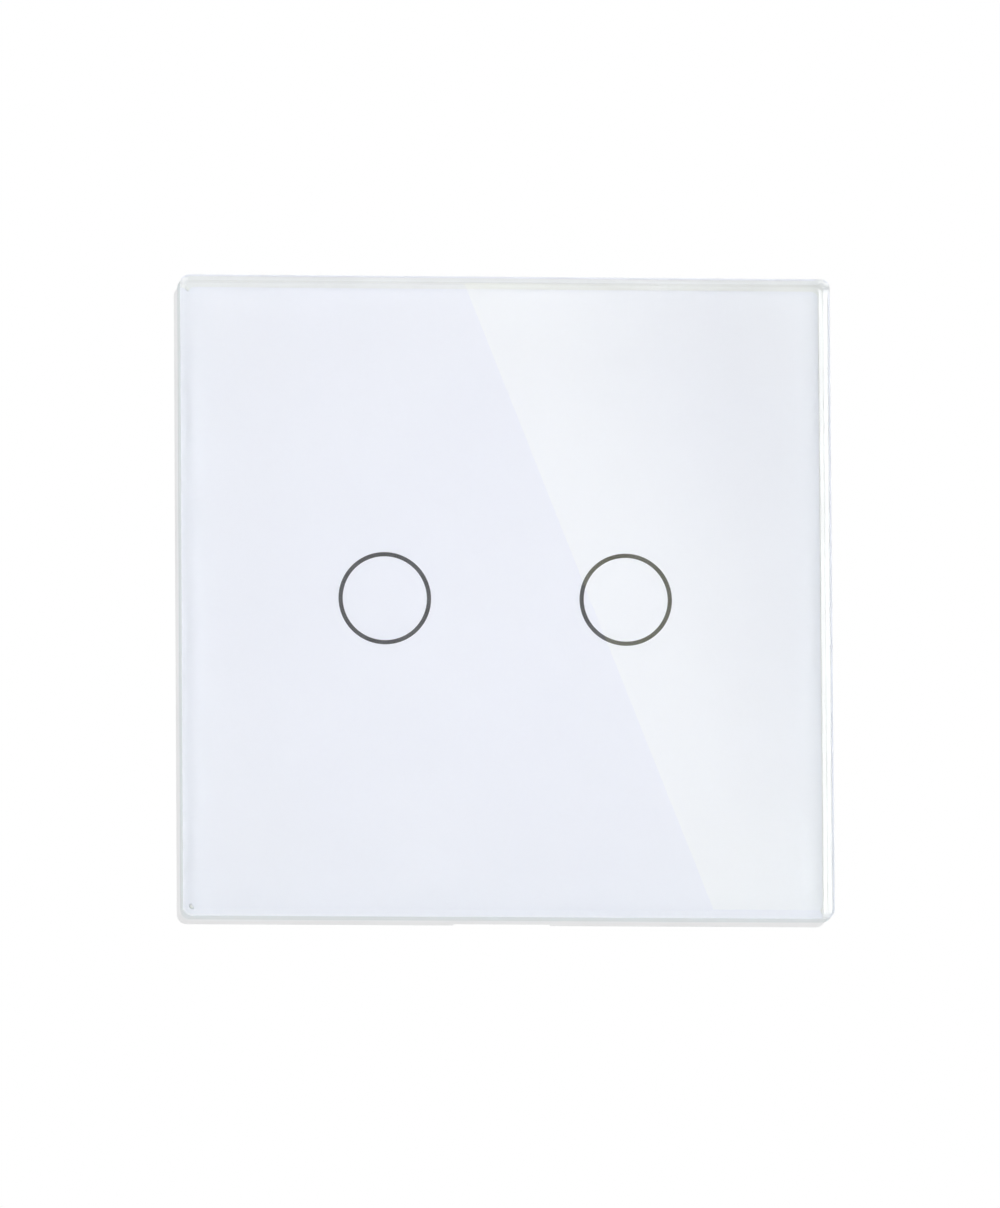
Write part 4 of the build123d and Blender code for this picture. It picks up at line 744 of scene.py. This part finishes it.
def card_material(settings):
    """Light that is strongest at the card's near edge and fades to its far colour."""
    material = bpy.data.materials.new("card_light")
    material.use_nodes = True
    nodes = material.node_tree.nodes
    links = material.node_tree.links
    nodes.clear()
    uv = nodes.new("ShaderNodeUVMap")
    uv.uv_map = "UVMap"
    split = nodes.new("ShaderNodeSeparateXYZ")
    links.new(uv.outputs["UV"], split.inputs["Vector"])
    fade = nodes.new("ShaderNodeMapRange")
    fade.interpolation_type = "SMOOTHSTEP"
    fade.inputs["From Max"].default_value = settings.card_fade / settings.card_width
    links.new(split.outputs["X"], fade.inputs["Value"])
    bright = nodes.new("ShaderNodeEmission")
    bright.inputs["Color"].default_value = (*settings.card_near, 1.0)
    bright.inputs["Strength"].default_value = settings.card_strength
    plain = nodes.new("ShaderNodeEmission")
    plain.inputs["Color"].default_value = (*settings.card_far, 1.0)
    plain.inputs["Strength"].default_value = 1.0
    mix = nodes.new("ShaderNodeMixShader")
    output = nodes.new("ShaderNodeOutputMaterial")
    links.new(fade.outputs["Result"], mix.inputs["Fac"])
    links.new(bright.outputs["Emission"], mix.inputs[1])
    links.new(plain.outputs["Emission"], mix.inputs[2])
    links.new(mix.outputs["Shader"], output.inputs["Surface"])
    return material


def mirrored_point(settings, column, row):
    """The place beside the camera that the glass mirrors at this column and row of the picture."""
    camera = camera_place(settings)
    point = 2 * panel_point(settings, column, row) - camera
    point.y = camera.y
    return point


def add_card(settings):
    """A bright card beside the camera, whose edge the glass mirrors as a slanting line."""
    upper = mirrored_point(settings, settings.card_top_column, settings.card_top_row)
    lower = mirrored_point(settings, settings.card_foot_column, settings.card_foot_row)
    along = (upper - lower).normalized()
    across = Vector((along.z, 0.0, -along.x))
    width = settings.card_width
    height = (upper - lower).length + 2 * width
    deselect()
    bpy.ops.mesh.primitive_plane_add(
        size=1.0,
        location=(upper + lower + across * width) / 2,
        rotation=Matrix((across, along, across.cross(along))).transposed().to_euler(),
    )
    card = bpy.context.object
    card.name = "light_card"
    card.scale = (width, height, 1.0)
    bpy.ops.object.transform_apply(location=True, rotation=True, scale=True)
    finish_piece(card, card_material(settings))
    card.visible_camera = False


def aimed(way, roll):
    """The turn of a camera that looks this way and is tipped by its roll."""
    return way.to_track_quat("-Z", "Y").to_matrix() @ Matrix.Rotation(roll, 3, "Z")


def add_camera(settings):
    """The camera at the photograph's viewing angle, with a long lens."""
    spot = camera_place(settings)
    data = bpy.data.cameras.new("camera")
    camera = bpy.data.objects.new("camera", data)
    bpy.context.scene.collection.objects.link(camera)
    # The lens is worked out for the picture's height, its longer side, along which Blender lays
    # the sensor's width
    picture_height = PHOTO_HEIGHT / settings.pixels_per_mm * MM
    data.sensor_width = SENSOR_WIDTH
    data.lens = data.sensor_width * settings.camera_distance / picture_height
    data.clip_end = CAMERA_REACH
    # The camera looks past the panel's middle, so that it lands at its column and row
    way = panel_middle() - spot
    across = (PHOTO_WIDTH / 2 - settings.panel_column) / settings.pixels_per_mm * MM
    rise = (settings.panel_row - PHOTO_HEIGHT / 2) / settings.pixels_per_mm * MM
    shifted = way + aimed(way, settings.camera_roll) @ Vector((across, rise, 0.0))
    turn = aimed(shifted, settings.camera_roll)
    camera.matrix_world = Matrix.Translation(spot) @ turn.to_4x4()
    bpy.context.scene.camera = camera


# Operators

class SWITCH_OT_glass(bpy.types.Operator):
    """Build the glass sheet with its rounded and polished edges"""

    bl_idname = "touch_switch.glass"
    bl_label = "Glass sheet"

    def execute(self, context):
        settings = context.scene.switch_glass
        low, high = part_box("glass_plate")
        high.y += settings.print_bond
        glass = add_block("glass_sheet", low, high)
        bevel_edges(
            glass, lambda a, b: abs(a.y - b.y) > NEAR, settings.corner_round, settings.segments)
        bevel_edges(
            glass, lambda a, b: max(a.y, b.y) < low.y + NEAR, settings.edge_round, settings.segments)
        bevel_edges(
            glass, lambda a, b: min(a.y, b.y) > high.y - NEAR, settings.back_bevel, ROUND_STEPS)
        rim_faces(glass, lambda normal: abs(normal.y) > STRAIGHT_ON, settings.face_rim)
        smooth(glass)
        finish_piece(glass, clear_glass(settings))
        glass.data.materials.append(ground_glass(settings))
        for face in glass.data.polygons:
            if abs(face.normal.y) < SIDEWAYS:
                face.material_index = 1
        take_place(glass, "glass_plate")
        return {"FINISHED"}


class SWITCH_OT_print(bpy.types.Operator):
    """Finish the white print, the ring marks and the bonding tape"""

    bl_idname = "touch_switch.print"
    bl_label = "Print and ring marks"

    def execute(self, context):
        settings = context.scene.switch_glass
        finish_node("white_backing", white_print(settings))
        smoked = smoked_print(settings)
        for side in SIDES:
            finish_node(f"ring_mark_{side}", smoked)
        finish_node("adhesive_frame", foam_tape(settings))
        return {"FINISHED"}


class SWITCH_OT_frame(bpy.types.Operator):
    """Round the edges of the frame behind the glass and finish it"""

    bl_idname = "touch_switch.frame"
    bl_label = "Panel frame"

    def execute(self, context):
        settings = context.scene.switch_shell
        dress("panel_frame", settings.frame_round, moulded("frame_plastic", settings.frame_white, 0.4))
        return {"FINISHED"}


class SWITCH_OT_plate(bpy.types.Operator):
    """Round the stamped edges of the mounting plate and finish it"""

    bl_idname = "touch_switch.plate"
    bl_label = "Mounting plate"

    def execute(self, context):
        settings = context.scene.switch_hardware
        dress("mounting_plate", settings.sheet_round, zinc_sheet(settings))
        return {"FINISHED"}


class SWITCH_OT_shell(bpy.types.Operator):
    """Round the edges of the module's cover and housing and finish them"""

    bl_idname = "touch_switch.shell"
    bl_label = "Cover and housing"

    def execute(self, context):
        settings = context.scene.switch_shell
        plastic = moulded("module_plastic", settings.module_grey, 0.5, depth=0.006 * MM)
        for node in ("rear_housing", "front_cover"):
            dress(node, settings.shell_round, plastic)
        return {"FINISHED"}


class SWITCH_OT_touch_fields(bpy.types.Operator):
    """Finish the light guides, the touch springs and the lamps"""

    bl_idname = "touch_switch.touch_fields"
    bl_label = "Touch fields"

    def execute(self, context):
        shell = context.scene.switch_shell
        milk = milky_plastic(shell)
        wire = drawn_wire(context.scene.switch_hardware)
        for side in SIDES:
            dress(f"light_guide_{side}", shell.block_round, milk)
            dress(f"touch_spring_{side}", shell.block_round, wire)
        dress("indicator_leds", shell.block_round, lamp_resin(context.scene.switch_inside))
        return {"FINISHED"}


class SWITCH_OT_screws(bpy.types.Operator):
    """Round the heads of the cover screws and the terminal screws and finish them"""

    bl_idname = "touch_switch.screws"
    bl_label = "Screws"

    def execute(self, context):
        settings = context.scene.switch_hardware
        zinc = screw_zinc(settings)
        dress("cover_screws", settings.screw_round, zinc)
        for number in TERMINALS:
            dress(f"terminal_screw_{number}", settings.screw_round, zinc)
        return {"FINISHED"}


class SWITCH_OT_terminals(bpy.types.Operator):
    """Finish the terminal block, its bars and its rising cages"""

    bl_idname = "touch_switch.terminals"
    bl_label = "Terminals"

    def execute(self, context):
        shell = context.scene.switch_shell
        hardware = context.scene.switch_hardware
        plastic = moulded("terminal_plastic", shell.terminal_grey, 0.5)
        dress("terminal_block", shell.block_round, plastic)
        dress("contact_bars", shell.block_round, rolled_metal("contact_bronze", hardware.bronze, 0.3))
        zinc = rolled_metal("cage_zinc", hardware.zinc, 0.38)
        for number in TERMINALS:
            dress(f"terminal_cage_{number}", shell.block_round, zinc)
        return {"FINISHED"}


class SWITCH_OT_boards(bpy.types.Operator):
    """Finish the boards, their chips and the plug between them"""

    bl_idname = "touch_switch.boards"
    bl_label = "Boards"

    def execute(self, context):
        inside = context.scene.switch_inside
        shell = context.scene.switch_shell
        hardware = context.scene.switch_hardware
        laminate = board_laminate(inside)
        for node in ("touch_board", "power_board"):
            dress(node, inside.board_round, laminate)
        chip = moulded("chip_body", inside.chip_black, 0.55, grain=0.12 * MM)
        for node in ("touch_chip", "supply_chip"):
            dress(node, inside.board_round, chip)
        dress("chip_leads", inside.board_round, rolled_metal("tinned_lead", hardware.tin, 0.35))
        plug = moulded("connector_plastic", shell.connector_black, 0.45)
        for node in ("board_header", "header_socket"):
            dress(node, inside.board_round, plug)
        dress("header_pins", inside.board_round, rolled_metal("pin_bronze", hardware.bronze, 0.25))
        return {"FINISHED"}


class SWITCH_OT_supply(bpy.types.Operator):
    """Finish the choke, the capacitors, the surge disc and the fuse"""

    bl_idname = "touch_switch.supply"
    bl_label = "Supply parts"

    def execute(self, context):
        settings = context.scene.switch_inside
        finishes = {
            "choke_core": ferrite(settings),
            "choke_winding": wound_wire(settings),
            "film_capacitor": moulded("film_case", settings.film_yellow, 0.3),
            "smoothing_capacitor": shrunk_sleeve(settings),
            "surge_disc": fired_coating("surge_coat", settings.disc_blue),
            "fuse_link": fired_coating("fuse_tube", settings.fuse_sand, 0.4),
        }
        for node, material in finishes.items():
            dress(node, settings.part_round, material)
        return {"FINISHED"}


class SWITCH_OT_relays(bpy.types.Operator):
    """Finish every piece of both relays"""

    bl_idname = "touch_switch.relays"
    bl_label = "Relays"

    def execute(self, context):
        inside = context.scene.switch_inside
        hardware = context.scene.switch_hardware
        iron = rolled_metal("relay_iron", hardware.nickel, 0.35)
        bronze = rolled_metal("relay_bronze", hardware.bronze, 0.3)
        finishes = {
            "case": moulded("relay_case", inside.relay_blue, 0.3),
            "base": moulded("relay_base", inside.relay_black, 0.5),
            "bobbin": moulded("bobbin_nylon", inside.nylon, 0.4),
            "winding": wound_wire(inside),
            "core": iron,
            "yoke": iron,
            "armature": iron,
            "moving_contact": bronze,
            "fixed_contact": bronze,
            "pins": rolled_metal("relay_tin", hardware.tin, 0.35),
        }
        for side in SIDES:
            for piece, material in finishes.items():
                dress(f"relay_{side}_{piece}", inside.board_round, material)
        return {"FINISHED"}


class SWITCH_OT_stage(bpy.types.Operator):
    """Set up the floor, the light and the camera"""

    bl_idname = "touch_switch.stage"
    bl_label = "Stage"

    def execute(self, context):
        settings = context.scene.switch_stage
        context.scene.view_settings.view_transform = "Standard"
        room_world(settings)
        add_floor(settings)
        add_lamps(settings)
        add_card(settings)
        add_camera(settings)
        return {"FINISHED"}


OPERATORS = (
    SWITCH_OT_glass,
    SWITCH_OT_print,
    SWITCH_OT_frame,
    SWITCH_OT_plate,
    SWITCH_OT_shell,
    SWITCH_OT_touch_fields,
    SWITCH_OT_screws,
    SWITCH_OT_terminals,
    SWITCH_OT_boards,
    SWITCH_OT_supply,
    SWITCH_OT_relays,
    SWITCH_OT_stage,
)


# The sidebar panel and the run

class SWITCH_PT_pieces(bpy.types.Panel):
    """Every piece of the switch, and the settings that it uses"""

    bl_idname = "SWITCH_PT_pieces"
    bl_label = "Double touch switch"
    bl_space_type = "VIEW_3D"
    bl_region_type = "UI"
    bl_category = "Switch"

    def draw(self, context):
        for operator in OPERATORS:
            self.layout.operator(operator.bl_idname)
        for name, group in SETTINGS.items():
            box = self.layout.box()
            box.label(text=group.__doc__)
            for setting in group.__annotations__:
                box.prop(getattr(context.scene, name), setting)


def register():
    """Make the settings, the operators and the panel known."""
    for group in SETTINGS.values():
        bpy.utils.register_class(group)
    for name, group in SETTINGS.items():
        setattr(bpy.types.Scene, name, PointerProperty(type=group))
    for operator in OPERATORS:
        bpy.utils.register_class(operator)
    bpy.utils.register_class(SWITCH_PT_pieces)


def unregister():
    """Take the panel, the operators and the settings away again."""
    bpy.utils.unregister_class(SWITCH_PT_pieces)
    for operator in reversed(OPERATORS):
        bpy.utils.unregister_class(operator)
    for name, group in SETTINGS.items():
        delattr(bpy.types.Scene, name)
        bpy.utils.unregister_class(group)


def main():
    """Build the whole switch."""
    register()
    for operator in OPERATORS:
        group, name = operator.bl_idname.split(".")
        getattr(getattr(bpy.ops, group), name)()


if __name__ == "__main__":
    main()
